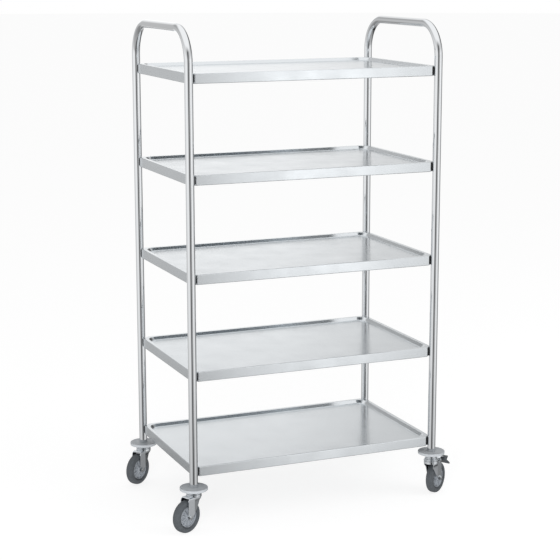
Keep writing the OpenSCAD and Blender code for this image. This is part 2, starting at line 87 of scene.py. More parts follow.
disc_low, disc_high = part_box("bumper_disc_fl")
DISC_R = (disc_high.x - disc_low.x) / 2
POCKET_H = disc_high.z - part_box("left_end_frame")[0].z
COLLAR_Z, COLLAR_TOP_Z = (corner.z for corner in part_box("brake_collars"))
RACE_Z, RACE_TOP_Z = (corner.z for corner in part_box("upper_races"))
RACE_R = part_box("upper_races")[1].x - POST_X
CROWN_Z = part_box("fork_fl")[1].z
WHEEL_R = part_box("tyre_fl")[1].z / 2
SEAT_R = (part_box("wheel_centre_fl")[1].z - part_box("wheel_centre_fl")[0].z) / 2
TRAIL = (Vector(JOINTS["roll_fl"]["pos_m"]).xy - Vector(JOINTS["swivel_fl"]["pos_m"]).xy).length
PIVOT_Z = JOINTS["brake_fr"]["pos_m"][2]
PIVOT_X = (Vector(JOINTS["brake_fr"]["pos_m"]).xy - Vector(JOINTS["swivel_fr"]["pos_m"]).xy).length


Z_TO_Y = Matrix.Rotation(math.radians(-90), 4, "X")
Y_TO_X = Matrix.Rotation(math.radians(-90), 4, "Z")


def at_caster(corner):
    """The matrix of one caster: its X points the way it trails, Z is up, and it stands on the floor."""
    head = Vector(JOINTS[f"swivel_{corner}"]["pos_m"])
    axle = Vector(JOINTS[f"roll_{corner}"]["pos_m"])
    trail = Vector((axle.x - head.x, axle.y - head.y, 0)).normalized()
    up = Vector((0, 0, 1))
    turn = Matrix((trail, up.cross(trail), up)).transposed().to_4x4()
    return Matrix.Translation((head.x, head.y, 0)) @ turn


def at_axle(corner):
    """The matrix of one wheel: its Z runs along the axle and its X points up."""
    lie = Matrix(((0, 1, 0), (0, 0, 1), (1, 0, 0))).to_4x4()
    return at_caster(corner) @ Matrix.Translation((TRAIL, 0, WHEEL_R)) @ lie


# ---------------------------------------------------------------------------
# Sizes and colours that a user would change
# ---------------------------------------------------------------------------


def linear(hex_colour):
    """Turns an sRGB hex colour such as #C8CCCF into linear red, green, blue and alpha."""
    channels = [int(hex_colour[i : i + 2], 16) / 255 for i in (1, 3, 5)]
    return (*(c / 12.92 if c <= 0.04045 else ((c + 0.055) / 1.055) ** 2.4 for c in channels), 1)


def millimetres(name, description, value):
    """A length property whose default is given in millimetres."""
    return FloatProperty(
        name=name, description=description, default=value * MM, min=0, precision=4, unit="LENGTH"
    )


def finish_colour(name, description, hex_colour):
    """A colour property whose default is an sRGB hex value."""
    return FloatVectorProperty(
        name=name, description=description, subtype="COLOR", size=4, min=0, max=1,
        default=linear(hex_colour),
    )


class TrolleySizes(bpy.types.PropertyGroup):
    """Sizes of the details that the CAD frame leaves to the looks."""

    bend_radius: millimetres("Handle bend", "Radius of the handle bends at the tube's middle", 100)
    tube_wall: millimetres("Tube wall", "Wall thickness of the frame tube", 1.2)
    sheet: millimetres("Shelf sheet", "Thickness of the shelf sheet", 1)
    fold_radius: millimetres("Fold radius", "Outside radius of the folds in the shelf sheet", 2)
    hem_width: millimetres("Hem", "Width of the hem under the shelf lip", 8)
    rim_width: millimetres("Rim", "Width of the flat rim round the sunk deck", 12)
    slope_width: millimetres("Slope", "Width of the slope between rim and deck", 8)
    deck_drop: millimetres("Deck drop", "Depth of the deck below the rim", 9)
    recess_radius: millimetres("Recess corner", "Corner radius of the sunk deck at the rim", 35)
    saddle: millimetres("Saddle", "Thickness of the saddle between a post and a shelf corner", 1.5)
    tyre_width: millimetres("Tyre width", "Width of the tyre", 26)
    rib_count: IntProperty(name="Ribs", description="Ribs on each side of a wheel", default=10, min=3)
    tube_sides: IntProperty(name="Tube sides", description="Faces round the tube", default=96, min=12)


class TrolleyColours(bpy.types.PropertyGroup):
    """Base colours of the finishes."""

    tube: finish_colour("Tube", "Polished stainless steel of the end frames", "#E4E6E8")
    sheet: finish_colour("Shelf", "Brushed stainless steel of the shelves", "#DDE1E4")
    zinc: finish_colour("Zinc", "Bright zinc plating of the casters", "#DCE0E4")
    bolt: finish_colour("Bolt", "Steel of bolts, nuts and washers", "#C9CCCE")
    disc: finish_colour("Bumper", "Grey plastic of the bumper discs", "#AEB2B6")
    saddle: finish_colour("Saddle", "Black plastic of the saddles", "#18191B")
    wheel: finish_colour("Wheel centre", "Grey plastic of the wheel centres", "#989DA3")
    tyre: finish_colour("Tyre", "Grey rubber of the tyres", "#4A4E52")
    pedal: finish_colour("Pedal", "Dark grey plastic of the foot pads", "#45494D")


def sizes():
    """The sizes as they are set in the panel."""
    return bpy.context.scene.trolley_sizes


def colours():
    """The base colours as they are set in the panel."""
    return bpy.context.scene.trolley_colours


# ---------------------------------------------------------------------------
# Nodes and materials
# ---------------------------------------------------------------------------


def add_node(tree, kind, inputs=None, **settings):
    """Adds a node with its settings; an input that is given a socket or a node is linked to it."""
    node = tree.nodes.new(kind)
    for name, value in settings.items():
        setattr(node, name, value)
    for key, value in (inputs or {}).items():
        if isinstance(value, bpy.types.Node):
            value = value.outputs[0]
        if isinstance(value, bpy.types.NodeSocket):
            tree.links.new(value, node.inputs[key])
        else:
            node.inputs[key].default_value = value
    return node


def shared(build):
    """Makes a material when it is first asked for, and hands out the same one after that."""

    def give():
        name = build.__name__
        found = bpy.data.materials.get(name)
        if found is None:
            found = bpy.data.materials.new(name)
            found.use_nodes = True
            found.node_tree.nodes.clear()
            build(found.node_tree)
        return found

    return give


METAL = {"Metallic": 1.0}


def end_material(tree, base, rough, bump, more, shade=None):
    """Ends a material with a bump and a Principled surface, which takes the inputs in more as well.

    rough is one roughness, or (pattern, its low, its high, roughness at low, roughness at high);
    bump is (pattern, strength, height); shade is laid out like rough and scales the colour.
    """
    names = ("Value", "From Min", "From Max", "To Min", "To Max")
    spans = []
    for values in (rough, shade):
        if isinstance(values, tuple):
            values = add_node(tree, "ShaderNodeMapRange", dict(zip(names, values)))
        spans.append(values)
    if shade:
        base = add_node(tree, "ShaderNodeMix", {"Factor": 1.0, 6: base, 7: spans[1]},
                        data_type="RGBA", blend_type="MULTIPLY").outputs[2]
    relief = add_node(tree, "ShaderNodeBump", dict(zip(("Height", "Strength", "Distance"), bump)))
    shader = add_node(tree, "ShaderNodeBsdfPrincipled", {
        "Base Color": base, "Roughness": spans[0], "Normal": relief, **more})
    add_node(tree, "ShaderNodeOutputMaterial", {"Surface": shader})


@shared
def polished_stainless_tube(tree):
    """Stainless steel tube, polished lengthways: close to a mirror, softened by faint hairlines."""
    place = add_node(tree, "ShaderNodeTexCoord").outputs["Object"]
    # Hairlines are about 0.4 mm wide and 30 mm long, and run along the posts.
    hairlines = add_node(tree, "ShaderNodeMapping", {
        "Vector": place, "Scale": (1 / (0.4 * MM), 1 / (0.4 * MM), 1 / (30 * MM))})
    fine = add_node(tree, "ShaderNodeTexNoise", {"Vector": hairlines, "Scale": 1.0, "Detail": 2.0})
    # Buffing leaves patches about 40 mm across that are a little duller.
    patches = add_node(tree, "ShaderNodeTexNoise", {
        "Vector": place, "Scale": 1 / (40 * MM), "Detail": 3.0})
    both = add_node(tree, "ShaderNodeMath", {0: fine, 1: patches}, operation="ADD")
    end_material(tree, colours().tube, (both, 0.6, 1.4, 0.03, 0.08), (fine, 0.01, 0.2 * MM), METAL)


@shared
def brushed_stainless_sheet(tree):
    """Brushed stainless steel sheet: the brush lines stretch each reflection across the grain."""
    grain = add_node(tree, "ShaderNodeUVMap", uv_map="grain")
    # Brush lines are about 0.1 mm wide on the real sheet; drawn 0.9 mm wide, so that they show.
    lines = add_node(tree, "ShaderNodeMapping", {
        "Vector": grain, "Scale": (1 / (60 * MM), 1 / (0.9 * MM), 1)})
    streaks = add_node(tree, "ShaderNodeTexNoise", {
        "Vector": lines, "Scale": 1.0, "Detail": 3.0, "Roughness": 0.6},
        noise_dimensions="2D")
    # Handling leaves soft patches about 90 mm across.
    patches = add_node(tree, "ShaderNodeTexNoise", {
        "Vector": grain, "Scale": 1 / (90 * MM), "Detail": 2.0}, noise_dimensions="2D")
    both = add_node(tree, "ShaderNodeMath", {0: streaks, 1: patches}, operation="ADD")
    along = add_node(tree, "ShaderNodeTangent", direction_type="UV_MAP", uv_map="grain")
    end_material(
        tree, colours().sheet, (both, 0.6, 1.4, 0.17, 0.25), (streaks, 0.06, 0.2 * MM),
        {**METAL, "Anisotropic": 0.6, "Anisotropic Rotation": 0.25, "Tangent": along},
        shade=(streaks, 0.3, 0.7, 0.96, 1.0))


@shared
def bright_zinc_plate(tree):
    """Pressed steel with bright zinc plating: shiny, with the soft waviness of a pressing."""
    place = add_node(tree, "ShaderNodeTexCoord").outputs["Object"]
    # The pressing waves about every 9 mm.
    waves = add_node(tree, "ShaderNodeTexNoise", {
        "Vector": place, "Scale": 1 / (9 * MM), "Detail": 1.0})
    # Plating crystals are finer than 0.1 mm; they are drawn 0.8 mm across, so that they show.
    crystals = add_node(tree, "ShaderNodeTexVoronoi", {"Vector": place, "Scale": 1 / (0.8 * MM)})
    end_material(tree, colours().zinc, (crystals, 0, 0.9, 0.08, 0.17), (waves, 0.1, 0.6 * MM), METAL)


@shared
def turned_bolt_steel(tree):
    """Zinc-plated machine bolts and nuts: satin metal with fine turning marks."""
    place = add_node(tree, "ShaderNodeTexCoord").outputs["Object"]
    # Turning marks are about 0.3 mm apart.
    marks = add_node(tree, "ShaderNodeTexNoise", {
        "Vector": place, "Scale": 1 / (0.3 * MM), "Detail": 2.0})
    end_material(tree, colours().bolt, (marks, 0.3, 0.7, 0.2, 0.34), (marks, 0.08, 0.1 * MM), METAL)


@shared
def satin_gusset_steel(tree):
    """Stainless plate, cut and tumbled: an even satin with small dents."""
    place = add_node(tree, "ShaderNodeTexCoord").outputs["Object"]
    # Tumbling leaves dents about 1 mm across.
    dents = add_node(tree, "ShaderNodeTexNoise", {
        "Vector": place, "Scale": 1 / (1 * MM), "Detail": 2.0})
    end_material(tree, colours().sheet, (dents, 0.3, 0.7, 0.28, 0.42), (dents, 0.1, 0.1 * MM), METAL)


@shared
def grey_bumper_plastic(tree):
    """Soft grey thermoplastic rubber, injection moulded with a fine matt texture."""
    place = add_node(tree, "ShaderNodeTexCoord").outputs["Object"]
    # The mould's spark texture is about 0.5 mm coarse.
    spark = add_node(tree, "ShaderNodeTexNoise", {
        "Vector": place, "Scale": 1 / (0.5 * MM), "Detail": 2.0})
    # Scuffs and dust settle in patches about 12 mm across.
    scuffs = add_node(tree, "ShaderNodeTexNoise", {
        "Vector": place, "Scale": 1 / (12 * MM), "Detail": 4.0})
    end_material(tree, colours().disc, (scuffs, 0.35, 0.7, 0.42, 0.56), (spark, 0.12, 0.1 * MM),
                 {"IOR": 1.5}, shade=(scuffs, 0.35, 0.7, 0.93, 1.04))


@shared
def black_saddle_nylon(tree):
    """Black glass-filled nylon, injection moulded: dark and slightly satin, with a coarse skin."""
    place = add_node(tree, "ShaderNodeTexCoord").outputs["Object"]
    # Glass fibres give the skin a texture about 0.7 mm coarse.
    skin = add_node(tree, "ShaderNodeTexNoise", {
        "Vector": place, "Scale": 1 / (0.7 * MM), "Detail": 3.0})
    end_material(tree, colours().saddle, (skin, 0.3, 0.7, 0.45, 0.62), (skin, 0.2, 0.1 * MM),
                 {"IOR": 1.53})


@shared
def grey_wheel_polypropylene(tree):
    """Grey polypropylene wheel centre, injection moulded: satin, with faint flow marks."""
    place = add_node(tree, "ShaderNodeTexCoord").outputs["Object"]
    # Flow marks are about 6 mm wide.
    flow = add_node(tree, "ShaderNodeTexNoise", {
        "Vector": place, "Scale": 1 / (6 * MM), "Detail": 3.0, "Distortion": 0.6})
    end_material(tree, colours().wheel, 0.42, (flow, 0.05, 0.3 * MM), {"IOR": 1.49},
                 shade=(flow, 0.3, 0.7, 0.94, 1.03))


@shared
def grey_tyre_rubber(tree):
    """Grey non-marking rubber: matt, with a dusty bloom and a fine pebbled skin."""
    place = add_node(tree, "ShaderNodeTexCoord").outputs["Object"]
    # The skin's pebbles are about 0.6 mm across.
    pebbles = add_node(tree, "ShaderNodeTexNoise", {
        "Vector": place, "Scale": 1 / (0.6 * MM), "Detail": 2.0})
    # Bloom and floor dust lie in patches about 8 mm across.
    bloom = add_node(tree, "ShaderNodeTexNoise", {
        "Vector": place, "Scale": 1 / (8 * MM), "Detail": 4.0})
    end_material(tree, colours().tyre, (bloom, 0.35, 0.7, 0.55, 0.75), (pebbles, 0.15, 0.1 * MM),
                 {"IOR": 1.52}, shade=(bloom, 0.35, 0.7, 0.86, 1.1))


@shared
def dark_pedal_nylon(tree):
    """Dark grey nylon of the foot pads, moulded with a matt grip texture and rubbed by shoes."""
    place = add_node(tree, "ShaderNodeTexCoord").outputs["Object"]
    # The grip texture is about 0.8 mm coarse.
    grip = add_node(tree, "ShaderNodeTexVoronoi", {"Vector": place, "Scale": 1 / (0.8 * MM)})
    # Shoes rub patches about 10 mm across a little smoother.
    rubbed = add_node(tree, "ShaderNodeTexNoise", {
        "Vector": place, "Scale": 1 / (10 * MM), "Detail": 3.0})
    end_material(tree, colours().pedal, (rubbed, 0.35, 0.7, 0.35, 0.6), (grip, 0.15, 0.1 * MM),
                 {"IOR": 1.53})


# ---------------------------------------------------------------------------
# Mesh work
# ---------------------------------------------------------------------------


def rounded_path(corners, closed=False, steps=5):
    """A flat path whose corners, given as (x, y, radius), are replaced by arcs."""
    points = []
    for index, (x, y, radius) in enumerate(corners):
        here = Vector((x, y))
        if radius <= 0 or (not closed and index in (0, len(corners) - 1)):
            points.append(here)
            continue
        back = (Vector(corners[index - 1][:2]) - here).normalized()
        on = (Vector(corners[(index + 1) % len(corners)][:2]) - here).normalized()
        half = back.angle(on) / 2
        centre = here + (back + on).normalized() * radius / math.sin(half)
        first = here + back * radius / math.tan(half) - centre
        last = here + on * radius / math.tan(half) - centre
        sweep = math.atan2(first.cross(last), first.dot(last))
        for step in range(steps + 1):
            points.append(centre + Matrix.Rotation(sweep * step / steps, 2) @ first)
    return points


def lathe(bm, profile, sides=64, place=Matrix(), closed=False):
    """Turns (radius, height) points about Z. A point on the axis becomes a pole."""
    rings = []
    for radius, height in profile:
        count = sides if radius > 1e-7 else 1
        angles = (math.tau * k / sides for k in range(count))
        rings.append([
            bm.verts.new(place @ Vector((radius * math.cos(a), radius * math.sin(a), height)))
            for a in angles
        ])
    join_rings(bm, rings, closed)


def join_rings(bm, rings, closed=False):
    """Fills the space between neighbouring rings of points with faces."""
    for low, high in zip(rings, rings[1:] + (rings[:1] if closed else [])):
        sides = max(len(low), len(high))
        for k in range(sides):
            m = (k + 1) % sides
            loop = [low[k % len(low)], low[m % len(low)], high[m % len(high)], high[k % len(high)]]
            bm.faces.new(dict.fromkeys(loop))


def prism(bm, outline, low, high, place=Matrix()):
    """Extrudes an outline of (x, z) points from y = low to y = high."""
    ends = [[bm.verts.new(place @ Vector((x, y, z))) for x, z in outline] for y in (low, high)]
    join_rings(bm, ends)
    for end in ends:
        bm.faces.new(end)


def hex_head(bm, flats, height, bore, place=Matrix()):
    """A hexagon with chamfered corners, standing on z = 0, with a bore or a closed top."""
    inner = flats / 2
    sides = 48
    rings = []
    face_r = inner * 0.94
    levels = ((0.0, False), (0.0, True), (height, True), (height, False))
    for level, on_flats in levels:
        ring = []
        for k in range(sides):
            angle = math.tau * k / sides
            reach = inner / math.cos((angle % (math.tau / 6)) - math.tau / 12) if on_flats else face_r
            # The chamfer takes more off the corners than off the flats.
            drop = (reach - face_r) * math.tan(math.radians(30)) if on_flats else 0
            z = level + (drop if level == 0 else -drop)
            spot = Vector((reach * math.cos(angle), reach * math.sin(angle), z))
            ring.append(bm.verts.new(place @ spot))
        rings.append(ring)
    if bore > 0:
        for level in (height, 0.0):
            rings.append([
                bm.verts.new(place @ Vector((bore * math.cos(math.tau * k / sides),
                                             bore * math.sin(math.tau * k / sides), level)))
                for k in range(sides)
            ])
        join_rings(bm, rings, closed=True)
    else:
        join_rings(bm, rings)
        bm.faces.new(rings[0])
        bm.faces.new(rings[-1])


def bake(obj):
    """Turns what an object's modifiers make into its own plain mesh."""
    before = obj.data
    graph = bpy.context.evaluated_depsgraph_get()
    mesh = bpy.data.meshes.new_from_object(obj.evaluated_get(graph))
    obj.modifiers.clear()
    obj.data = mesh
    bpy.data.meshes.remove(before)
    mesh.name = obj.name


def smooth(obj, degrees=35):
    """Shades an object smooth, apart from edges that turn more than this, and keeps its flats flat."""
    bm = bmesh.new()
    bm.from_mesh(obj.data)
    for face in bm.faces:
        face.smooth = True
    for edge in bm.edges:
        edge.smooth = len(edge.link_faces) == 2 and edge.calc_face_angle() < math.radians(degrees)
    bm.to_mesh(obj.data)
    bm.free()
    weigh = obj.modifiers.new("Flat faces first", "WEIGHTED_NORMAL")
    weigh.keep_sharp = True
    bake(obj)


def add_object(name, bm=None, material=None):
    """An object in the scene, with a bmesh's faces or none, and with one material or none."""
    mesh = bpy.data.meshes.new(name)
    if bm:
        bm.to_mesh(mesh)
        bm.free()
    if material:
        mesh.materials.append(material)
    obj = bpy.data.objects.new(name, mesh)
    bpy.context.scene.collection.objects.link(obj)
    return obj


def new_piece(name, bm, material, bevel=0.0):
    """Makes a closed bmesh an object with one material, its faces out and its edges rounded."""
    bmesh.ops.remove_doubles(bm, verts=bm.verts, dist=1e-7)
    bmesh.ops.recalc_face_normals(bm, faces=bm.faces)
    obj = add_object(name, bm, material)
    if bevel > 0:
        ease = obj.modifiers.new("Rounded edges", "BEVEL")
        ease.width = bevel
        ease.segments = 3
        ease.limit_method = "ANGLE"
        ease.angle_limit = math.radians(40)
        bake(obj)
    smooth(obj)
    return obj


def place_piece(obj, body, slot, *nodes):
    """Ties a finished piece to its body and lets it stand for CAD nodes, which it hides; slot is not
    used.
    """
    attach(obj, body)
    if nodes:
        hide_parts(*nodes)


def fit_piece(name, bm, material, body, slot, node, bevel=0.0):
    """Makes a piece from a bmesh and puts it in the place of one CAD node."""
    place_piece(new_piece(name, bm, material, bevel), body, slot, node)


def cut_with(obj, bm, operation):
    """Applies a boolean with a bmesh, which is then freed."""
    bmesh.ops.recalc_face_normals(bm, faces=bm.faces)
    tool = add_object("cutter", bm)
    cut = obj.modifiers.new("Cut", "BOOLEAN")
    cut.object = tool
    cut.operation = operation
    cut.solver = "EXACT"
    bake(obj)
    bpy.data.objects.remove(tool)


# ---------------------------------------------------------------------------
# Geometry Nodes: tubes, corner fixings and wheel ribs
# ---------------------------------------------------------------------------


def start_tree(name, inputs):
    """Starts a Geometry Nodes tree with named inputs; returns it and its group input's sockets."""
    tree = bpy.data.node_groups.new(name, "GeometryNodeTree")
    tree.interface.new_socket("Geometry", in_out="OUTPUT", socket_type="NodeSocketGeometry")
    for label, kind in inputs.items():
        tree.interface.new_socket(label, in_out="INPUT", socket_type=kind)
    return tree, add_node(tree, "NodeGroupInput").outputs


def end_tree(tree, geometry, material):
    """Ends a tree with Realize Instances and Set Material."""
    solid = add_node(tree, "GeometryNodeRealizeInstances", {"Geometry": geometry})
    painted = add_node(tree, "GeometryNodeSetMaterial", {"Geometry": solid, "Material": material})
    add_node(tree, "NodeGroupOutput", {"Geometry": painted})


def run_tree(obj, tree, values):
    """Runs a tree on an object with its inputs set by name, and keeps the result as a plain mesh."""
    grown = obj.modifiers.new(tree.name, "NODES")
    grown.node_group = tree
    for item in tree.interface.items_tree:
        if item.in_out == "INPUT" and item.name in values:
            grown[item.identifier] = values[item.name]
    bake(obj)


def bent_tube_tree():
    """A round tube along an upside-down U in the YZ plane."""
    tree, given = start_tree("Bent tube", {
        "Place along X": "NodeSocketFloat", "Half spacing": "NodeSocketFloat",
        "Foot height": "NodeSocketFloat", "Handle height": "NodeSocketFloat",
        "Bend radius": "NodeSocketFloat", "Bend steps": "NodeSocketInt",
        "Tube radius": "NodeSocketFloat", "Sides": "NodeSocketInt", "Material": "NodeSocketMaterial"})
    other = add_node(tree, "ShaderNodeMath", {0: given["Half spacing"], 1: -1.0}, operation="MULTIPLY")
    left, right = other, given["Half spacing"]
    bends = (
        (left, "Foot height"), (left, "Handle height"),
        (right, "Handle height"), (right, "Foot height"))
    spots = [add_node(tree, "ShaderNodeCombineXYZ", {
        "X": given["Place along X"], "Y": side, "Z": given[height]}) for side, height in bends]
    path = add_node(tree, "GeometryNodeCurvePrimitiveQuadrilateral",
                    {f"Point {k + 1}": spot for k, spot in enumerate(spots)}, mode="POINTS")
    opened = add_node(tree, "GeometryNodeSetSplineCyclic", {"Geometry": path, "Cyclic": False})
    bent = add_node(tree, "GeometryNodeFilletCurve", {
        "Curve": opened, "Radius": given["Bend radius"], "Count": given["Bend steps"]},
        mode="POLY")
    ring = add_node(tree, "GeometryNodeCurvePrimitiveCircle", {
        "Resolution": given["Sides"], "Radius": given["Tube radius"]})
    swept = add_node(tree, "GeometryNodeCurveToMesh", {"Curve": bent, "Profile Curve": ring})
    end_tree(tree, swept, given["Material"])
    return tree


def corner_fixing_tree():
    """Copies of a piece at every shelf corner, its X pointing to the middle of the shelf."""
    tree, given = start_tree("Corner fixings", {
        "Piece": "NodeSocketObject", "Spacing X": "NodeSocketFloat", "Spacing Y": "NodeSocketFloat",
        "Lowest": "NodeSocketFloat", "Pitch": "NodeSocketFloat", "Shelves": "NodeSocketInt",
        "Material": "NodeSocketMaterial"})
    posts = add_node(tree, "GeometryNodeMeshGrid", {
        "Size X": given["Spacing X"], "Size Y": given["Spacing Y"], "Vertices X": 2, "Vertices Y": 2})
    spot = add_node(tree, "GeometryNodeInputPosition")
    parts = add_node(tree, "ShaderNodeSeparateXYZ", {0: spot})
    back = [add_node(tree, "ShaderNodeMath", {0: parts.outputs[k], 1: -1.0}, operation="MULTIPLY")
            for k in (0, 1)]
    turn = add_node(tree, "ShaderNodeMath", {0: back[1], 1: back[0]},
                    operation="ARCTAN2")
    # The corners are cut at 45 degrees, so the turn is the nearest odd multiple of 45 degrees.
    steps = add_node(tree, "ShaderNodeMath", {0: turn, 1: math.tau / 4}, operation="DIVIDE")
    whole = add_node(tree, "ShaderNodeMath", {0: steps}, operation="FLOOR")
    middle = add_node(tree, "ShaderNodeMath", {0: whole, 1: 0.5}, operation="ADD")
    angle = add_node(tree, "ShaderNodeMath", {0: middle, 1: math.tau / 4}, operation="MULTIPLY")
    euler = add_node(tree, "ShaderNodeCombineXYZ", {"Z": angle})
    piece = add_node(tree, "GeometryNodeObjectInfo", {"Object": given["Piece"], "As Instance": True})
    level = add_node(tree, "GeometryNodeInstanceOnPoints", {
        "Points": posts, "Instance": piece.outputs["Geometry"], "Rotation": euler})
    start = add_node(tree, "ShaderNodeCombineXYZ", {"Z": given["Lowest"]})
    rise = add_node(tree, "ShaderNodeCombineXYZ", {"Z": given["Pitch"]})
    levels = add_node(tree, "GeometryNodeMeshLine", {
        "Count": given["Shelves"], "Start Location": start, "Offset": rise})
    stack = add_node(tree, "GeometryNodeInstanceOnPoints", {"Points": levels, "Instance": level})
    end_tree(tree, stack, given["Material"])
    return tree


def round_the_axis_tree():
    """Copies of a piece in a ring about Z, added to the mesh that the tree is run on."""
    tree, given = start_tree("Round the axis", {
        "Body": "NodeSocketGeometry", "Piece": "NodeSocketObject", "Count": "NodeSocketInt",
        "Material": "NodeSocketMaterial"})
    dots = add_node(tree, "GeometryNodeMeshLine", {"Count": given["Count"], "Offset": (0.0, 0.0, 0.0)})
    index = add_node(tree, "GeometryNodeInputIndex")
    share = add_node(tree, "ShaderNodeMath", {0: index, 1: given["Count"]}, operation="DIVIDE")
    angle = add_node(tree, "ShaderNodeMath", {0: share, 1: math.tau}, operation="MULTIPLY")
    euler = add_node(tree, "ShaderNodeCombineXYZ", {"Z": angle})
    piece = add_node(tree, "GeometryNodeObjectInfo", {"Object": given["Piece"], "As Instance": True})
    ring = add_node(tree, "GeometryNodeInstanceOnPoints", {
        "Points": dots, "Instance": piece.outputs["Geometry"], "Rotation": euler})
    both = add_node(tree, "GeometryNodeJoinGeometry", {"Geometry": given["Body"]})
    tree.links.new(ring.outputs[0], both.inputs["Geometry"])
    end_tree(tree, both, given["Material"])
    return tree


# ---------------------------------------------------------------------------
# Frame and shelves
# ---------------------------------------------------------------------------


class TROLLEY_OT_end_frames(bpy.types.Operator):
    """Bends the two end frames from round tube"""

    bl_idname = "trolley.end_frames"
    bl_label = "End frames"

    def execute(self, context):
        tree = bent_tube_tree()
        steel = polished_stainless_tube()
        for name, node, side in (("tube_frame_left", "left_end_frame", -1),
                                 ("tube_frame_right", "right_end_frame", 1)):
            obj = add_object(name)
            run_tree(obj, tree, {
                "Place along X": side * POST_X, "Half spacing": POST_Y,
                "Foot height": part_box(node)[0].z, "Handle height": HANDLE_Z,
                "Bend radius": sizes().bend_radius, "Bend steps": 32,
                "Tube radius": TUBE_R, "Sides": sizes().tube_sides, "Material": steel})
            bm = bmesh.new()
            bm.from_mesh(obj.data)
            bmesh.ops.recalc_face_normals(bm, faces=bm.faces)
            face_out(bm, Vector((side * POST_X, 0, 0)))
            bm.to_mesh(obj.data)
            bm.free()
            wall = obj.modifiers.new("Tube wall", "SOLIDIFY")
            wall.thickness = sizes().tube_wall
            wall.offset = -1
            bake(obj)
            smooth(obj)
            place_piece(obj, "trolley", "tube_steel", node)
        return {"FINISHED"}


def face_out(bm, foot):
    """Turns an open tube's faces away from its own middle line, judged on one post."""
    post = foot + Vector((0, POST_Y, 0))
    face = min(bm.faces, key=lambda f: (f.calc_center_median().xy - post.xy).length)
    if face.normal.xy.dot(face.calc_center_median().xy - post.xy) < 0:
        bmesh.ops.reverse_faces(bm, faces=bm.faces)


def corner_face():
    """Distance from the post axis to the shelf's cut corner face."""
    return TUBE_R + sizes().saddle


def corner_turns(count):
    """Directions of the points round one corner, from 0 to a quarter turn."""
    return [math.tau / 4 * k / (count - 1) for k in range(count)]


def cut_corner_ring(inset, steps=4):
    """Plan of a shelf at an inset: straight sides, cut corners and small bends, one list a corner."""
    s = sizes()
    leg = corner_face() * math.sqrt(2) - inset * (2 - math.sqrt(2))
    bend = max(s.fold_radius - inset, 0.4 * MM)
    x, y = POST_X - inset, POST_Y - inset
    plan = rounded_path([(x, 0, 0), (x, y - leg, bend), (x - leg, y, bend), (0, y, 0)], steps=steps)
    return plan[1:-1]


def recess_ring(inset, count):
    """Plan of the sunk deck at an inset: a rectangle with round corners, as many points as asked."""
    s = sizes()
    x = POST_X - s.rim_width - s.recess_radius
    y = POST_Y - s.rim_width - s.recess_radius
    radius = s.recess_radius - (inset - s.rim_width)
    return [Vector((x + radius * math.cos(a), y + radius * math.sin(a))) for a in corner_turns(count)]


def all_four(corner):
    """Repeats one corner's points round all four corners, in order."""
    flips = ((1, 1, 1), (-1, 1, -1), (-1, -1, 1), (1, -1, -1))
    return [Vector((p.x * fx, p.y * fy)) for fx, fy, way in flips for p in corner[::way]]


def tray_section():
    """Section of the shelf's outer skin, from the hem to the deck, as (inset, height) points."""
    s = sizes()
    deck = LIP_H - s.deck_drop
    low = s.rim_width + s.slope_width
    return rounded_path([
        (s.hem_width, 0, 0),
        (0, 0, s.fold_radius),
        (0, LIP_H, s.fold_radius),
        (s.rim_width, LIP_H, s.fold_radius),
        (low, deck, 1.5 * s.fold_radius),
        (low + 6 * MM, deck, 0),
    ])


def map_grain(bm):
    """Gives each face a UV place in metres, with U along the sheet's grain."""
    layer = bm.loops.layers.uv.new("grain")
    for face in bm.faces:
        steep_x = abs(face.normal.x) > 0.7
        flat = abs(face.normal.z) > 0.5
        for loop in face.loops:
            x, y, z = loop.vert.co
            if flat:
                loop[layer].uv = (x, y)
            elif steep_x:
                loop[layer].uv = (z, y)
            else:
                loop[layer].uv = (x, z)


class TROLLEY_OT_shelves(bpy.types.Operator):
    """Folds the five tray shelves from brushed sheet"""

    bl_idname = "trolley.shelves"
    bl_label = "Shelves"

    def execute(self, context):
        s = sizes()
        corner_points = len(cut_corner_ring(0))
        for name, z in zip(SHELVES, SHELF_Z):
            bm = bmesh.new()
            rings = []
            for inset, height in tray_section():
                on_lip = height < LIP_H - s.fold_radius or inset < s.rim_width / 2
                if on_lip and inset <= s.hem_width:
                    plan = all_four(cut_corner_ring(inset))
                else:
                    plan = all_four(recess_ring(inset, corner_points))
                rings.append([bm.verts.new((p.x, p.y, z + height)) for p in plan])
            join_rings(bm, rings)
            bm.faces.new(rings[-1])
            bm.normal_update()
            deck = max(bm.faces, key=lambda f: f.calc_area())
            if deck.normal.z < 0:
                bmesh.ops.reverse_faces(bm, faces=bm.faces)
            map_grain(bm)
            obj = add_object(f"tray_{name[-1]}", bm, brushed_stainless_sheet())
            wall = obj.modifiers.new("Sheet", "SOLIDIFY")
            wall.thickness = s.sheet
            wall.offset = -1
            wall.use_even_offset = True
            bake(obj)
            smooth(obj)
            place_piece(obj, "trolley", "shelf_steel", name)
        return {"FINISHED"}


# Distances along a corner's diagonal, from the post axis: the saddle, the corner face, the gusset,
# the washer and the bolt head follow each other.
SADDLE_W, SADDLE_H = 22 * MM, 22 * MM
GUSSET_T, WASHER_T, HEAD_H = 2.5 * MM, 1.2 * MM, 4 * MM
BOLT_R, HEAD_FLATS, HEX_BEVEL = 3 * MM, 10 * MM, 0.15 * MM


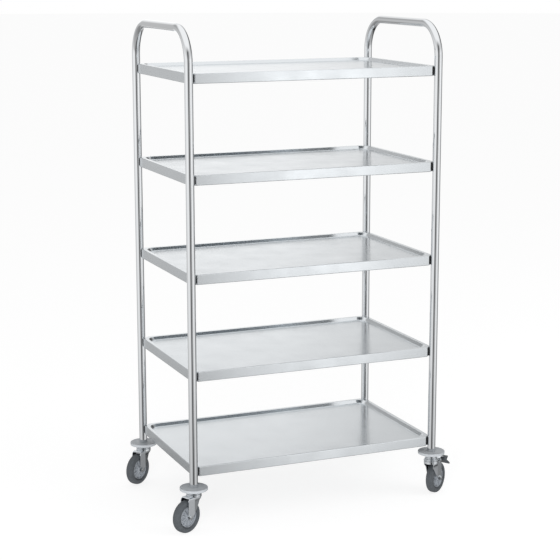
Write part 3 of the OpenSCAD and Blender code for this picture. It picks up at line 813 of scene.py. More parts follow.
def saddle_shape():
    """A saddle: hollow on the post's side, flat on the shelf's side, with soft edges."""
    bm = bmesh.new()
    hollow = TUBE_R + SEAT_GAP
    tip = TUBE_R * 0.8
    front = corner_face() - SEAT_GAP
    reach = math.acos(tip / hollow)
    half = SADDLE_W / 2
    outline = rounded_path([
        (tip, -half, 0), (front, -half, 2 * MM), (front, half, 2 * MM), (tip, half, 0)])
    outline += [Vector((hollow * math.cos(a), hollow * math.sin(a)))
                for a in (reach - 2 * reach * k / 20 for k in range(21))]
    prism(bm, outline, -SADDLE_H / 2, SADDLE_H / 2, Z_TO_Y)
    return new_piece("saddle_shape", bm, black_saddle_nylon(), bevel=0.5 * MM)


def gusset_shape():
    """A gusset plate with round corners, behind the corner face."""
    bm = bmesh.new()
    half, tall = SADDLE_W / 2 + 1 * MM, SADDLE_H / 2
    outline = rounded_path([(-half, -tall, 3 * MM), (half, -tall, 3 * MM), (half, tall, 3 * MM),
                            (-half, tall, 3 * MM)], closed=True)
    near = corner_face() + sizes().sheet
    prism(bm, outline, near, near + GUSSET_T, Y_TO_X)
    return new_piece("gusset_shape", bm, satin_gusset_steel(), bevel=0.3 * MM)


def towards_middle(distance):
    """A matrix whose Z runs along the corner's diagonal, starting at this distance."""
    return Matrix.Translation((distance, 0, 0)) @ Matrix.Rotation(math.radians(90), 4, "Y")


def bolt_shape():
    """A hexagon bolt: chamfered head, and a shank that runs back into the post."""
    bm = bmesh.new()
    head = corner_face() + sizes().sheet + GUSSET_T + WASHER_T
    hex_head(bm, HEAD_FLATS, HEAD_H, 0, towards_middle(head))
    tail = TUBE_R - 7.8 * MM
    shank = [(0, tail), (BOLT_R * 0.8, tail), (BOLT_R, tail + 0.6 * MM), (BOLT_R, head + HEAD_H / 2),
             (0, head + HEAD_H / 2)]
    lathe(bm, shank, 32, towards_middle(0))
    return new_piece("bolt_shape", bm, turned_bolt_steel(), bevel=HEX_BEVEL)


def washer_shape():
    """A flat washer with broken edges."""
    bm = bmesh.new()
    near = corner_face() + sizes().sheet + GUSSET_T
    outer, inner, ease = HEAD_FLATS * 0.6, BOLT_R + 0.3 * MM, 0.25 * MM
    section = rounded_path([(inner, near, 0), (outer, near, ease), (outer, near + WASHER_T, ease),
                            (inner, near + WASHER_T, 0)])
    lathe(bm, section, 40, towards_middle(0), closed=True)
    return new_piece("washer_shape", bm, turned_bolt_steel())


class TROLLEY_OT_corner_fixings(bpy.types.Operator):
    """Fits the saddles, gussets, bolts and washers at every shelf corner"""

    bl_idname = "trolley.corner_fixings"
    bl_label = "Corner fixings"

    def execute(self, context):
        tree = corner_fixing_tree()
        plan = (
            ("saddles", saddle_shape, black_saddle_nylon, "saddle_plastic", "post_saddles"),
            ("gussets", gusset_shape, satin_gusset_steel, "shelf_steel", "gusset_plates"),
            ("hex_bolts", bolt_shape, turned_bolt_steel, "fastener_steel", "corner_bolts"),
            ("washers", washer_shape, turned_bolt_steel, "fastener_steel", "corner_washers"),
        )
        for name, shape, material, slot, node in plan:
            single = shape()
            obj = add_object(name)
            run_tree(obj, tree, {
                "Piece": single, "Spacing X": 2 * POST_X, "Spacing Y": 2 * POST_Y,
                "Lowest": SHELF_Z[0] + LIP_H / 2, "Pitch": SHELF_PITCH, "Shelves": len(SHELF_Z),
                "Material": material()})
            bpy.data.objects.remove(single)
            place_piece(obj, "trolley", slot, node)
        return {"FINISHED"}


class TROLLEY_OT_hidden_pieces(bpy.types.Operator):
    """Gives the pieces inside the posts and bearings their finishes"""

    bl_idname = "trolley.hidden_pieces"
    bl_label = "Hidden pieces"

    def execute(self, context):
        finishes = {
            "rivet_nuts": turned_bolt_steel, "cone_nuts": turned_bolt_steel,
            "kingpins": turned_bolt_steel, "tube_expanders": black_saddle_nylon,
            "upper_balls": bright_zinc_plate, "lower_balls": bright_zinc_plate,
            "lower_races": bright_zinc_plate,
            **{f"axle_sleeve_{corner}": turned_bolt_steel for corner in CORNERS},
        }
        for node, material in finishes.items():
            for slot in frame["nodes"][node].material_slots:
                slot.material = material()
        return {"FINISHED"}


# ---------------------------------------------------------------------------
# Bumper discs and casters
# ---------------------------------------------------------------------------


class TROLLEY_OT_bumper_discs(bpy.types.Operator):
    """Moulds the bumper disc at the foot of each post"""

    bl_idname = "trolley.bumper_discs"
    bl_label = "Bumper discs"

    def execute(self, context):
        foot_r, stem_r, edge_h = 27 * MM, 5.3 * MM, 8 * MM
        pocket = TUBE_R + 0.1 * MM
        for corner in CORNERS:
            low, high = (place.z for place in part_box(f"bumper_disc_{corner}"))
            seat = high - POCKET_H
            bm = bmesh.new()
            section = rounded_path([
                (stem_r, low, 0),
                (foot_r, low, 1 * MM),
                (DISC_R, high - edge_h, 1.2 * MM),
                (DISC_R, high, 1.1 * MM),
                (pocket + 2.5 * MM, high, 0.4 * MM),
                (pocket + 0.5 * MM, high, 0.3 * MM),
                (pocket, high - 0.8 * MM, 0),
                (pocket, seat, 0),
                (stem_r, seat, 0),
            ])
            lathe(bm, section, 96, at_caster(corner), closed=True)
            fit_piece(f"disc_{corner}", bm, grey_bumper_plastic(), "trolley", "disc_plastic",
                      f"bumper_disc_{corner}")
        return {"FINISHED"}


class TROLLEY_OT_race_cups(bpy.types.Operator):
    """Presses the upper race cup of each swivel bearing"""

    bl_idname = "trolley.race_cups"
    bl_label = "Race cups"

    def execute(self, context):
        wall, stem_r, step = 2 * MM, 5.1 * MM, 2.2 * MM
        shoulder_z = RACE_TOP_Z - 2.6 * MM
        bm = bmesh.new()
        for corner in CORNERS:
            section = rounded_path([
                (stem_r, RACE_TOP_Z, 0),
                (RACE_R - step, RACE_TOP_Z, 0.8 * MM),
                (RACE_R - step, shoulder_z, 0.5 * MM),
                (RACE_R, shoulder_z - 0.6 * MM, 0.8 * MM),
                (RACE_R, RACE_Z, 0.5 * MM),
                (RACE_R - wall, RACE_Z, 0.5 * MM),
                (RACE_R - wall, RACE_TOP_Z - 2.4 * MM, 0),
                (stem_r, RACE_TOP_Z - 2.4 * MM, 0),
            ])
            lathe(bm, section, 72, at_caster(corner), closed=True)
        fit_piece("race_cups", bm, bright_zinc_plate(), "trolley", "zinc_steel", "upper_races")
        return {"FINISHED"}


class TROLLEY_OT_brake_collars(bpy.types.Operator):
    """Turns the ringed collar under the bumper disc of each braked caster"""

    bl_idname = "trolley.brake_collars"
    bl_label = "Brake collars"

    def execute(self, context):
        stem_r, collar_r, groove, ease = 5.1 * MM, 19 * MM, 2 * MM, 0.7 * MM
        third = (COLLAR_TOP_Z - COLLAR_Z) / 3
        bm = bmesh.new()
        for corner in BRAKED:
            # Two rings stand out, with a groove between them.
            section = rounded_path([
                (stem_r, COLLAR_Z, 0),
                (collar_r, COLLAR_Z, ease), (collar_r, COLLAR_Z + third, ease),
                (collar_r - groove, COLLAR_Z + third, ease),
                (collar_r - groove, COLLAR_TOP_Z - third, ease),
                (collar_r, COLLAR_TOP_Z - third, ease), (collar_r, COLLAR_TOP_Z, ease),
                (stem_r, COLLAR_TOP_Z, 0),
            ])
            lathe(bm, section, 72, at_caster(corner), closed=True)
        fit_piece("collar_rings", bm, bright_zinc_plate(), "trolley", "zinc_steel", "brake_collars")
        return {"FINISHED"}


FORK_T = 2.5 * MM
CHEEK_GAP = 2.3 * MM
CROWN_R = 23.5 * MM
CROWN_H = 6 * MM
CREASE_X = 14 * MM
CREASE_ANGLE = math.radians(9)
CREASE_BEND = 0.8 * MM


def cheek_inner():
    """Distance from a wheel's middle plane to the inside of a fork cheek."""
    return sizes().tyre_width / 2 + CHEEK_GAP


def cheek_outer():
    """Distance from a wheel's middle plane to the outside of a fork cheek."""
    return cheek_inner() + FORK_T


def plate_top():
    """Height of the fork's top plate, under the crown."""
    return CROWN_Z - CROWN_H


def cheek_outline():
    """A fork cheek in the caster's plane: wide at the crown, swept back to a round end at the axle."""
    top, end_r = plate_top(), 9 * MM
    front = 1 * MM - math.sqrt(CROWN_R**2 - cheek_outer() ** 2)
    upper = rounded_path([
        (TRAIL, top + 1 * MM, 0),
        (front, top + 1 * MM, 0),
        (front, top - 6 * MM, 3 * MM),
        (-7 * MM, WHEEL_R + 38 * MM, 12 * MM),
        (0, WHEEL_R + 25 * MM, 12 * MM),
        (TRAIL - 22 * MM, WHEEL_R + 10 * MM, 14 * MM),
        (TRAIL - end_r * 0.72, WHEEL_R - end_r * 0.7, 0),
    ])
    lowest = [Vector((TRAIL + end_r * math.cos(a), WHEEL_R + end_r * math.sin(a)))
              for a in (math.radians(225 + 135 * k / 14) for k in range(15))]
    rear = rounded_path([(TRAIL + end_r, WHEEL_R + 2 * MM, 0), (TRAIL + 6 * MM, top - 7 * MM, 8 * MM),
                         (TRAIL, top - 1.5 * MM, 0)])
    return upper + lowest + rear


def fork_channel():
    """Section of the fork's sheet across its travel: two cheeks and the top, with round bends."""
    top, out, low, bend = plate_top(), cheek_outer(), WHEEL_R - 12 * MM, 4 * MM
    skin = rounded_path([(out, low, 0), (out, top, bend), (-out, top, bend), (-out, low, 0)])
    gap = out - FORK_T
    inner = rounded_path([(-gap, low, 0), (-gap, top - FORK_T, bend - FORK_T),
                          (gap, top - FORK_T, bend - FORK_T), (gap, low, 0)])
    return skin + inner


def pressed_fork(braked):
    """The fork's sheet in the caster's own frame: a bent channel trimmed to the cheek's outline."""
    sheet = bmesh.new()
    prism(sheet, fork_channel(), -30 * MM, TRAIL + 12 * MM, Y_TO_X)
    bmesh.ops.recalc_face_normals(sheet, faces=sheet.faces)
    fork = add_object("fork_sheet", sheet)
    trim = bmesh.new()
    prism(trim, cheek_outline(), -2 * cheek_outer(), 2 * cheek_outer())
    cut_with(fork, trim, "INTERSECT")
    low, high = plate_top() - 2 * FORK_T, plate_top() + FORK_T
    hole = bmesh.new()
    hole_r = CROWN_R - 3 * MM
    # The hole under the crown stops short of the cheeks.
    squeeze = Matrix.Diagonal((1, 0.68, 1, 1))
    lathe(hole, [(0, low), (hole_r, low), (hole_r, high), (0, high)], 64, squeeze)
    cut_with(fork, hole, "DIFFERENCE")
    if braked:
        notch = bmesh.new()
        start = PIVOT_X - 7.5 * MM
        end = start + TRAIL
        window = [(start, low), (end, low), (end, high), (start, high)]
        prism(notch, window, -cheek_inner(), cheek_inner())
        cut_with(fork, notch, "DIFFERENCE")
    return fork


def crease(bm):
    """Folds the front strip of each cheek inwards, fading out below the top bend."""
    fade_low, fade_high = plate_top() - 16 * MM, plate_top() - 7 * MM
    cuts = [((x, 0, 0), (1, 0, 0)) for x in (CREASE_X - CREASE_BEND, CREASE_X, CREASE_X + CREASE_BEND)]
    cuts += [((0, 0, fade_low + (fade_high - fade_low) * k / 4), (0, 0, 1)) for k in range(5)]
    for point, normal in cuts:
        bmesh.ops.bisect_plane(bm, geom=bm.verts[:] + bm.edges[:] + bm.faces[:], dist=1e-7,
                               plane_co=point, plane_no=normal)
    for vert in bm.verts:
        share = min(max((fade_high - vert.co.z) / (fade_high - fade_low), 0), 1)
        share *= share * (3 - 2 * share)
        before = CREASE_X + CREASE_BEND - vert.co.x
        if before <= 0:
            continue
        # The fold's short bend is a parabola, and the strip beyond it is straight.
        run = before**2 / (4 * CREASE_BEND) if before < 2 * CREASE_BEND else before - CREASE_BEND
        vert.co.y -= math.copysign(run * math.tan(CREASE_ANGLE) * share, vert.co.y)


def fork_mesh(bm, braked):
    """The whole fork in the caster's own frame: sheet, crown, rear bead and brake lugs."""
    fork = pressed_fork(braked)
    bm.from_mesh(fork.data)
    bpy.data.objects.remove(fork)
    crease(bm)
    low, wall, stem_r = plate_top() - FORK_T, 3 * MM, 5.06 * MM
    crown = rounded_path([
        (stem_r, CROWN_Z, 0), (CROWN_R, CROWN_Z, 3 * MM), (CROWN_R, low + 0.2 * MM, 0),
        (CROWN_R - wall, low + 0.2 * MM, 0), (CROWN_R - wall, CROWN_Z - FORK_T, 1.2 * MM),
        (stem_r, CROWN_Z - FORK_T, 0),
    ])
    lathe(bm, crown, 72, closed=True)
    if braked:
        near, far, lug_r, ease = cheek_inner(), cheek_outer(), 6 * MM, 0.4 * MM
        lug = rounded_path([
            (0, near, 0), (lug_r, near, ease), (lug_r, far, ease), (0, far, 0)], steps=2)
        for side in (-1, 1):
            aside = Matrix.Rotation(math.radians(-90 * side), 4, "X")
            lathe(bm, lug, 40, Matrix.Translation((PIVOT_X, 0, PIVOT_Z)) @ aside)
    else:
        bead_r, reach = 1.3 * MM, cheek_outer() - 4 * MM
        across = Matrix.Translation((TRAIL - bead_r, 0, plate_top())) @ Z_TO_Y
        bead = rounded_path([(0, -reach, 0), (bead_r, -reach, 0.6 * MM), (bead_r, reach, 0.6 * MM),
                             (0, reach, 0)])
        lathe(bm, bead, 24, across)


class TROLLEY_OT_forks(bpy.types.Operator):
    """Presses the fork of each caster"""

    bl_idname = "trolley.forks"
    bl_label = "Forks"

    def execute(self, context):
        for corner in CORNERS:
            bm = bmesh.new()
            fork_mesh(bm, corner in BRAKED)
            bmesh.ops.transform(bm, matrix=at_caster(corner), verts=bm.verts)
            fit_piece(f"fork_press_{corner}", bm, bright_zinc_plate(), f"caster_{corner}", "zinc_steel",
                      f"fork_{corner}", bevel=0.45 * MM)
        return {"FINISHED"}


AXLE_R, NUT_FLATS, NUT_H, AXLE_HEAD_H = 4 * MM, 13 * MM, 4.5 * MM, 5 * MM


def nut_side(corner):
    """The axle's matrix, turned so that +Z is the side that carries the nut: the one facing front."""
    place = at_axle(corner)
    faces_front = place.col[2].y < 0
    flip = Matrix.Rotation(0 if faces_front else math.pi, 4, "X")
    return place @ flip


class TROLLEY_OT_axles(bpy.types.Operator):
    """Fits the axle bolt and nut of each caster"""

    bl_idname = "trolley.axles"
    bl_label = "Axles"

    def execute(self, context):
        out = cheek_outer()
        for corner in CORNERS:
            place = nut_side(corner)
            bm = bmesh.new()
            under = place @ Matrix.Translation((0, 0, -out)) @ Matrix.Rotation(math.pi, 4, "X")
            hex_head(bm, NUT_FLATS, AXLE_HEAD_H, 0, under)
            start, past_nut, end = -out - AXLE_HEAD_H / 2, out + NUT_H, out + NUT_H + 1.5 * MM
            shank = [(0, start), (AXLE_R, start), (AXLE_R, past_nut)]
            # A groove of the thread shows beyond the nut.
            shank += [(AXLE_R - 0.35 * MM, past_nut + 0.35 * MM), (AXLE_R, past_nut + 0.7 * MM),
                      (AXLE_R - 0.9 * MM, end), (0, end)]
            lathe(bm, shank, 40, place)
            fit_piece(f"axle_hex_bolt_{corner}", bm, turned_bolt_steel(), f"caster_{corner}",
                      "fastener_steel", f"axle_bolt_{corner}", bevel=HEX_BEVEL)
            bm = bmesh.new()
            hex_head(bm, NUT_FLATS, NUT_H, AXLE_R + SEAT_GAP, place @ Matrix.Translation((0, 0, out)))
            fit_piece(f"axle_hex_nut_{corner}", bm, turned_bolt_steel(), f"caster_{corner}",
                      "fastener_steel", f"axle_nut_{corner}", bevel=HEX_BEVEL)
        return {"FINISHED"}


BARREL_R, SLEEVE_R, RIM_T, WEB_HALF = 11 * MM, 6 * MM, 4 * MM, 2.5 * MM
# The rim ends this far inside the tyre's side.
RIM_INSET = 3 * MM
# A groove between rim and tyre: the rim steps down by RIM_STEP over the outer RIM_GROOVE.
RIM_STEP, RIM_GROOVE = 2.6 * MM, 5 * MM


def mirrored(section):
    """The other half of a section, with its corners in the order that goes on from the first half."""
    return [(radius, -height, turn) for radius, height, turn in reversed(section)]


def wheel_section():
    """Section of the wheel centre: barrel, web and rim, as a closed (radius, height) path."""
    rim = sizes().tyre_width / 2 - RIM_INSET
    barrel = cheek_inner() - 0.5 * MM
    bore = SLEEVE_R + BORE_GAP
    inner, lip = SEAT_R - RIM_T, SEAT_R - RIM_STEP
    low = [
        (bore, -barrel, 0.4 * MM), (BARREL_R - 1.2 * MM, -barrel, 0.6 * MM),
        (BARREL_R, -WEB_HALF, 1.5 * MM), (inner - 0.6 * MM, -WEB_HALF, 1.5 * MM),
        (inner, -rim, 0.5 * MM), (lip, -rim, 0.5 * MM),
        (lip, RIM_GROOVE - rim, 0.4 * MM), (SEAT_R, RIM_GROOVE - rim, 0),
    ]
    return rounded_path(low + mirrored(low), closed=True, steps=3)


def rib_shape():
    """One rib on both faces of the web, from the barrel to the rim, thinner at its edges."""
    bm = bmesh.new()
    start, end = BARREL_R - 1 * MM, SEAT_R - RIM_T + 0.6 * MM
    tall, dip = sizes().tyre_width / 2 - 4 * MM, 1.6 * MM
    outline = rounded_path([
        (start, -tall, 0), (end, dip - tall, 0), (end, tall - dip, 0), (start, tall, 0)])
    prism(bm, outline, -1 * MM, 1 * MM)
    return new_piece("rib_shape", bm, grey_wheel_polypropylene(), bevel=0.4 * MM)


class TROLLEY_OT_wheel_centres(bpy.types.Operator):
    """Moulds the ribbed centre of each wheel"""

    bl_idname = "trolley.wheel_centres"
    bl_label = "Wheel centres"

    def execute(self, context):
        tree = round_the_axis_tree()
        rib = rib_shape()
        for corner in CORNERS:
            bm = bmesh.new()
            lathe(bm, wheel_section(), 96, closed=True)
            obj = new_piece(f"wheel_hub_{corner}", bm, grey_wheel_polypropylene())
            run_tree(obj, tree, {"Piece": rib, "Count": sizes().rib_count,
                                 "Material": grey_wheel_polypropylene()})
            obj.data.transform(at_axle(corner))
            place_piece(obj, f"wheel_{corner}", "wheel_plastic", f"wheel_centre_{corner}")
        bpy.data.objects.remove(rib)
        return {"FINISHED"}


def tyre_section():
    """Section of the tyre as a closed (radius, height) path: round shoulders, stepped side walls."""
    half, shoulder = sizes().tyre_width / 2, 7.5 * MM
    seat = SEAT_R + SEAT_GAP
    foot = half - RIM_INSET - RIM_GROOVE + SEAT_GAP
    side = [
        (seat, foot, 0), (seat - RIM_STEP, foot, 0), (seat - RIM_STEP, foot + 1.4 * MM, 0),
        (seat + 1 * MM, half - 2.8 * MM, 0.5 * MM), (seat + 2.6 * MM, half - 0.1 * MM, 0.9 * MM),
        (seat + 5.2 * MM, half - 0.1 * MM, 0.4 * MM), (seat + 5.9 * MM, half - 0.8 * MM, 0.3 * MM),
    ]
    crown = [(WHEEL_R - 0.35 * MM, half - 1.1 * MM, shoulder), (WHEEL_R, 0.5 * MM, 0)]
    ridge = [(WHEEL_R - 0.2 * MM, 0.3 * MM, 0), (WHEEL_R - 0.2 * MM, -0.3 * MM, 0)]
    half_section = side + crown
    return rounded_path(half_section + ridge + mirrored(half_section), closed=True)


class TROLLEY_OT_tyres(bpy.types.Operator):
    """Moulds the rubber tyre of each wheel"""

    bl_idname = "trolley.tyres"
    bl_label = "Tyres"

    def execute(self, context):
        for corner in CORNERS:
            bm = bmesh.new()
            lathe(bm, tyre_section(), 128, at_axle(corner), closed=True)
            fit_piece(f"rubber_tyre_{corner}", bm, grey_tyre_rubber(), f"wheel_{corner}", "tyre_rubber",
                      f"tyre_{corner}")
        return {"FINISHED"}


# ---------------------------------------------------------------------------
# Brakes
# ---------------------------------------------------------------------------


def from_pivot(points):
    """Turns (x, z, radius) points in millimetres from the brake's pivot into caster places."""
    return [(PIVOT_X + x * MM, PIVOT_Z + z * MM, radius * MM) for x, z, radius in points]


def lever_strip():
    """Outline of the pedal's bent strip in the caster's plane."""
    return rounded_path(from_pivot([
        (-4, 2, 0), (-3, 7.5, 2), (8, 11.3, 6), (30.2, 5.7, 6), (39.4, -3.3, 0), (37.5, -5, 0),
        (28.8, 3.2, 4), (8, 8.7, 4), (0, 5.9, 0), (4, 2, 0),
    ]), closed=True)


# How far the pedal turns when it is pressed.
PRESS_ANGLE = math.radians(10)


def round_the_tyre(gap, start, end, steps=8):
    """Arc at a gap from where the tyre lies against the pressed pedal, seen from the released one."""
    pivot = Vector((PIVOT_X, PIVOT_Z))
    middle = pivot + Matrix.Rotation(PRESS_ANGLE, 2) @ (Vector((TRAIL, WHEEL_R)) - pivot)
    turns = [math.radians(start + (end - start) * k / steps) for k in range(steps + 1)]
    return [middle + Vector((math.cos(a), math.sin(a))) * (WHEEL_R + gap) for a in turns]


def shoe_block():
    """Outline of the shoe that presses on the tyre, following the tyre's curve underneath."""
    top = from_pivot([(13.2, -3.6, 0), (5, 2, 0), (0, 0, 0)])
    return round_the_tyre(0.3 * MM, 89, 75) + [Vector(p[:2]) for p in top]


def pad_outline():
    """Outline of the foot pad in the caster's plane, with its two toes."""
    toes = from_pivot([
        (26, -1, 1), (36, 3, 3), (46, 4, 1.2), (48, 1, 1.2),
        (39, -8.5, 2.5), (48, -13, 3), (62, -24, 1.5), (60, -28, 1.5),
    ])
    under = [(point.x, point.y, 0) for point in round_the_tyre(1.7 * MM, 42, 72)]
    return rounded_path(toes + under, closed=True, steps=4)


class TROLLEY_OT_brakes(bpy.types.Operator):
    """Fits the pedal, foot pad and pivot pin of each braked caster"""

    bl_idname = "trolley.brakes"
    bl_label = "Brakes"

    def execute(self, context):
        half = cheek_inner() - 0.6 * MM
        pin_r, hub_r, head_r, head_t = 3 * MM, 5.5 * MM, 4.5 * MM, 1.5 * MM
        bore = pin_r + BORE_GAP
        pad_half, shoe_half = 20 * MM, sizes().tyre_width / 3
        out = cheek_outer()
        for corner in BRAKED:
            place = at_caster(corner)
            across = place @ Matrix.Translation((PIVOT_X, 0, PIVOT_Z)) @ Z_TO_Y
            bm = bmesh.new()
            prism(bm, lever_strip(), -half, half, place)
            prism(bm, shoe_block(), -shoe_half, shoe_half, place)
            barrel = [(bore, -half), (hub_r, -half), (hub_r, half), (bore, half)]
            lathe(bm, barrel, 40, across, closed=True)
            fit_piece(f"pedal_lever_{corner}", bm, bright_zinc_plate(), f"brake_{corner}", "zinc_steel",
                      f"brake_lever_{corner}", bevel=0.35 * MM)
            bm = bmesh.new()
            prism(bm, pad_outline(), -pad_half, pad_half, place)
            fit_piece(f"foot_pad_{corner}", bm, dark_pedal_nylon(), f"brake_{corner}", "pedal_plastic",
                      f"brake_pad_{corner}", bevel=1 * MM)
            bm = bmesh.new()
            low = [
                (0, -out - head_t, 0), (head_r, -out - head_t, 0.9 * MM),
                (head_r, -out, 0), (pin_r, -out, 0)]
            lathe(bm, rounded_path(low + mirrored(low)), 40, across)
            fit_piece(f"pivot_pin_{corner}", bm, turned_bolt_steel(), f"caster_{corner}",
                      "fastener_steel", f"brake_pin_{corner}")
        return {"FINISHED"}


# ---------------------------------------------------------------------------
# Stage
# ---------------------------------------------------------------------------

# The studio as the steel sees it: angle round the trolley from the front, with + to the right, in
# degrees, and the brightness there.
STUDIO_ROUND = (
    (-180, 1.25), (-166, 0.62), (-158, 0.58), (-140, 0.75), (-101, 1.00), (-68, 1.12), (-46, 0.80),
    (-36, 0.60), (-29, 0.06), (-15, 0.06), (-8, 0.50), (6, 0.60), (14, 0.36), (19, 0.45), (22, 1.30),
    (24.5, 2.20), (27, 1.00), (30, 0.70), (38, 1.35), (58, 0.85), (74, 0.90), (82, 0.50), (100, 0.45),
    (105, 0.10), (127, 0.10), (134, 0.50), (152, 0.85), (157, 1.20), (180, 1.25),
)
# How the backdrop dims from the floor line upwards: sine of the elevation, and the share left.
STUDIO_RISE = (
    (-1.0, 0.35), (-0.34, 0.55), (-0.25, 0.85), (-0.1, 1.0), (0.0, 0.95), (0.12, 1.0), (0.22, 0.9),
    (0.35, 0.75), (0.55, 0.75), (0.75, 1.05), (1.0, 1.1),
)


CEILING_WHITE = (1.1, 1.1, 1.1, 1)
# Brightness of the white that lights matt surfaces.
MATT_LIGHT = 0.58


def stops(ramp, pairs, low, high):
    """Sets a colour ramp's stops from (place, brightness) pairs."""
    elements = ramp.elements
    while len(elements) < len(pairs):
        elements.new(1)
    for element, (place, value) in zip(elements, pairs):
        element.position = (place - low) / (high - low)
        element.color = (value, value, value, 1)


def studio_world():
    """White to the eye and to matt surfaces, and a studio with dark and light walls to shiny ones."""
    world = bpy.data.worlds.new("studio")
    bpy.context.scene.world = world
    world.use_nodes = True
    # Shiny and matt rays see different things, so light is only found by following the rays.
    world.cycles.sampling_method = "NONE"
    tree = world.node_tree
    tree.nodes.clear()
    way = add_node(tree, "ShaderNodeTexCoord")
    parts = add_node(tree, "ShaderNodeSeparateXYZ", {0: way.outputs["Generated"]})
    ahead = add_node(tree, "ShaderNodeMath", {0: parts.outputs[1], 1: -1.0}, operation="MULTIPLY")
    angle = add_node(tree, "ShaderNodeMath", {0: parts, 1: ahead},
                     operation="ARCTAN2")
    turn = add_node(tree, "ShaderNodeMapRange", {
        "Value": angle, "From Min": -math.pi, "From Max": math.pi})
    walls = add_node(tree, "ShaderNodeValToRGB", {0: turn})
    stops(walls.color_ramp, STUDIO_ROUND, -180, 180)
    lift = add_node(tree, "ShaderNodeMapRange", {
        "Value": parts.outputs[2], "From Min": -1.0, "From Max": 1.0})
    rise = add_node(tree, "ShaderNodeValToRGB", {0: lift})
    stops(rise.color_ramp, STUDIO_RISE, -1, 1)
    studio = add_node(tree, "ShaderNodeMix", {"Factor": 1.0, 6: walls, 7: rise},
                      data_type="RGBA", blend_type="MULTIPLY")
    # The walls end under a white ceiling.
    ceiling = add_node(tree, "ShaderNodeMapRange", {
        "Value": parts.outputs[2], "From Min": 0.5, "From Max": 0.75})
    room = add_node(tree, "ShaderNodeMix", {
        0: ceiling, 6: studio.outputs[2], 7: CEILING_WHITE}, data_type="RGBA")
    ray = add_node(tree, "ShaderNodeLightPath")
    for_steel = add_node(tree, "ShaderNodeBackground", {"Color": room.outputs[2], "Strength": 1.0})
    for_matt = add_node(tree, "ShaderNodeBackground", {"Color": (1, 1, 1, 1), "Strength": MATT_LIGHT})
    for_eye = add_node(tree, "ShaderNodeBackground", {"Color": (1, 1, 1, 1), "Strength": 1.0})
    one = add_node(tree, "ShaderNodeMixShader", {
        0: ray.outputs["Is Glossy Ray"], 1: for_matt, 2: for_steel})
    two = add_node(tree, "ShaderNodeMixShader", {0: ray.outputs["Is Camera Ray"], 1: one, 2: for_eye})
    add_node(tree, "ShaderNodeOutputWorld", {"Surface": two})


@shared
def pale_floor(tree):
    """Seamless studio paper: nearly white, matt, and taking only a faint shadow."""
    matt = add_node(tree, "ShaderNodeBsdfDiffuse", {"Color": linear("#9A9A9A")})
    glow = add_node(tree, "ShaderNodeEmission", {"Color": linear("#FFFFFF"), "Strength": 0.78})
    both = add_node(tree, "ShaderNodeAddShader", {0: matt, 1: glow})
    add_node(tree, "ShaderNodeOutputMaterial", {"Surface": both})


LIGHT_AIM, PANEL_WIDTH = Vector((0, 0, 0.6)), 2.4


def soft_panel(name, place, width, power):
    """A square area light that faces the trolley, below its middle, and stays out of reflections."""
    light = bpy.data.lights.new(name, "AREA")
    light.size = width
    light.energy = power
    obj = bpy.data.objects.new(name, light)
    bpy.context.scene.collection.objects.link(obj)
    obj.location = place
    obj.rotation_euler = (LIGHT_AIM - Vector(place)).to_track_quat("-Z", "Y").to_euler()
    obj.visible_glossy = False
    obj.visible_camera = False


CAMERA_PLACE = (-1.9069, -4.5041, 1.6916)
CAMERA_YAW, CAMERA_PITCH, CAMERA_ROLL = (math.radians(turn) for turn in (22.80, 11.44, 0.07))
CAMERA_LENS, CAMERA_SHIFT = 101.22, (-0.0023, -0.0068)
FLOOR_RADIUS, FLOOR_DROP = 45, 0.2 * MM


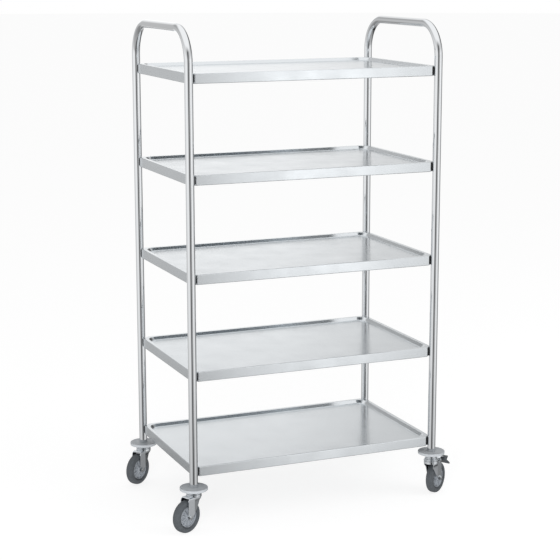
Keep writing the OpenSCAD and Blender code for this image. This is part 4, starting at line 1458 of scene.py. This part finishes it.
class TROLLEY_OT_stage(bpy.types.Operator):
    """Sets up the floor, the studio light and the camera"""

    bl_idname = "trolley.stage"
    bl_label = "Stage"

    def execute(self, context):
        scene = context.scene
        scene.view_settings.view_transform = "Standard"
        bm = bmesh.new()
        bmesh.ops.create_circle(bm, cap_ends=True, segments=96, radius=FLOOR_RADIUS)
        floor = add_object("floor", bm, pale_floor())
        floor.location.z = -FLOOR_DROP
        floor.visible_glossy = False
        studio_world()
        soft_panel("key", (-2.4, -4.6, 1.2), PANEL_WIDTH, 190)
        soft_panel("fill", (3.6, -2.6, 2.4), PANEL_WIDTH, 40)
        camera = bpy.data.cameras.new("camera")
        camera.sensor_width = 36
        camera.lens = CAMERA_LENS
        camera.shift_x, camera.shift_y = CAMERA_SHIFT
        camera.clip_end = 200
        eye = bpy.data.objects.new("camera", camera)
        scene.collection.objects.link(eye)
        level = math.cos(CAMERA_PITCH)
        ahead = Vector((math.sin(CAMERA_YAW) * level, math.cos(CAMERA_YAW) * level,
                        -math.sin(CAMERA_PITCH)))
        eye.location = CAMERA_PLACE
        eye.rotation_mode = "QUATERNION"
        eye.rotation_quaternion = Quaternion(ahead, CAMERA_ROLL) @ ahead.to_track_quat("-Z", "Y")
        scene.camera = eye
        return {"FINISHED"}


# ---------------------------------------------------------------------------
# Panel and start
# ---------------------------------------------------------------------------

OPERATORS = (
    TROLLEY_OT_stage, TROLLEY_OT_end_frames, TROLLEY_OT_shelves, TROLLEY_OT_corner_fixings,
    TROLLEY_OT_hidden_pieces, TROLLEY_OT_bumper_discs, TROLLEY_OT_race_cups, TROLLEY_OT_brake_collars,
    TROLLEY_OT_forks, TROLLEY_OT_axles, TROLLEY_OT_wheel_centres, TROLLEY_OT_tyres, TROLLEY_OT_brakes,
)


class TROLLEY_PT_panel(bpy.types.Panel):
    """Lists the trolley's sizes, colours and building steps"""

    bl_label = "Service trolley"
    bl_idname = "TROLLEY_PT_panel"
    bl_space_type = "VIEW_3D"
    bl_region_type = "UI"
    bl_category = "Trolley"

    def draw(self, context):
        for group in (context.scene.trolley_sizes, context.scene.trolley_colours):
            box = self.layout.box()
            for name in group.__annotations__:
                box.prop(group, name)
        for operator in OPERATORS:
            self.layout.operator(operator.bl_idname)


CLASSES = (TrolleySizes, TrolleyColours, *OPERATORS, TROLLEY_PT_panel)


def register():
    """Makes the classes, the sizes and the colours known."""
    for cls in CLASSES:
        bpy.utils.register_class(cls)
    bpy.types.Scene.trolley_sizes = PointerProperty(type=TrolleySizes)
    bpy.types.Scene.trolley_colours = PointerProperty(type=TrolleyColours)


def unregister():
    """Takes back what register() did."""
    del bpy.types.Scene.trolley_colours
    del bpy.types.Scene.trolley_sizes
    for cls in reversed(CLASSES):
        bpy.utils.unregister_class(cls)


def main():
    """Registers the add-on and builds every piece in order."""
    register()
    for operator in OPERATORS:
        category, name = operator.bl_idname.split(".")
        getattr(getattr(bpy.ops, category), name)()


if __name__ == "__main__":
    main()
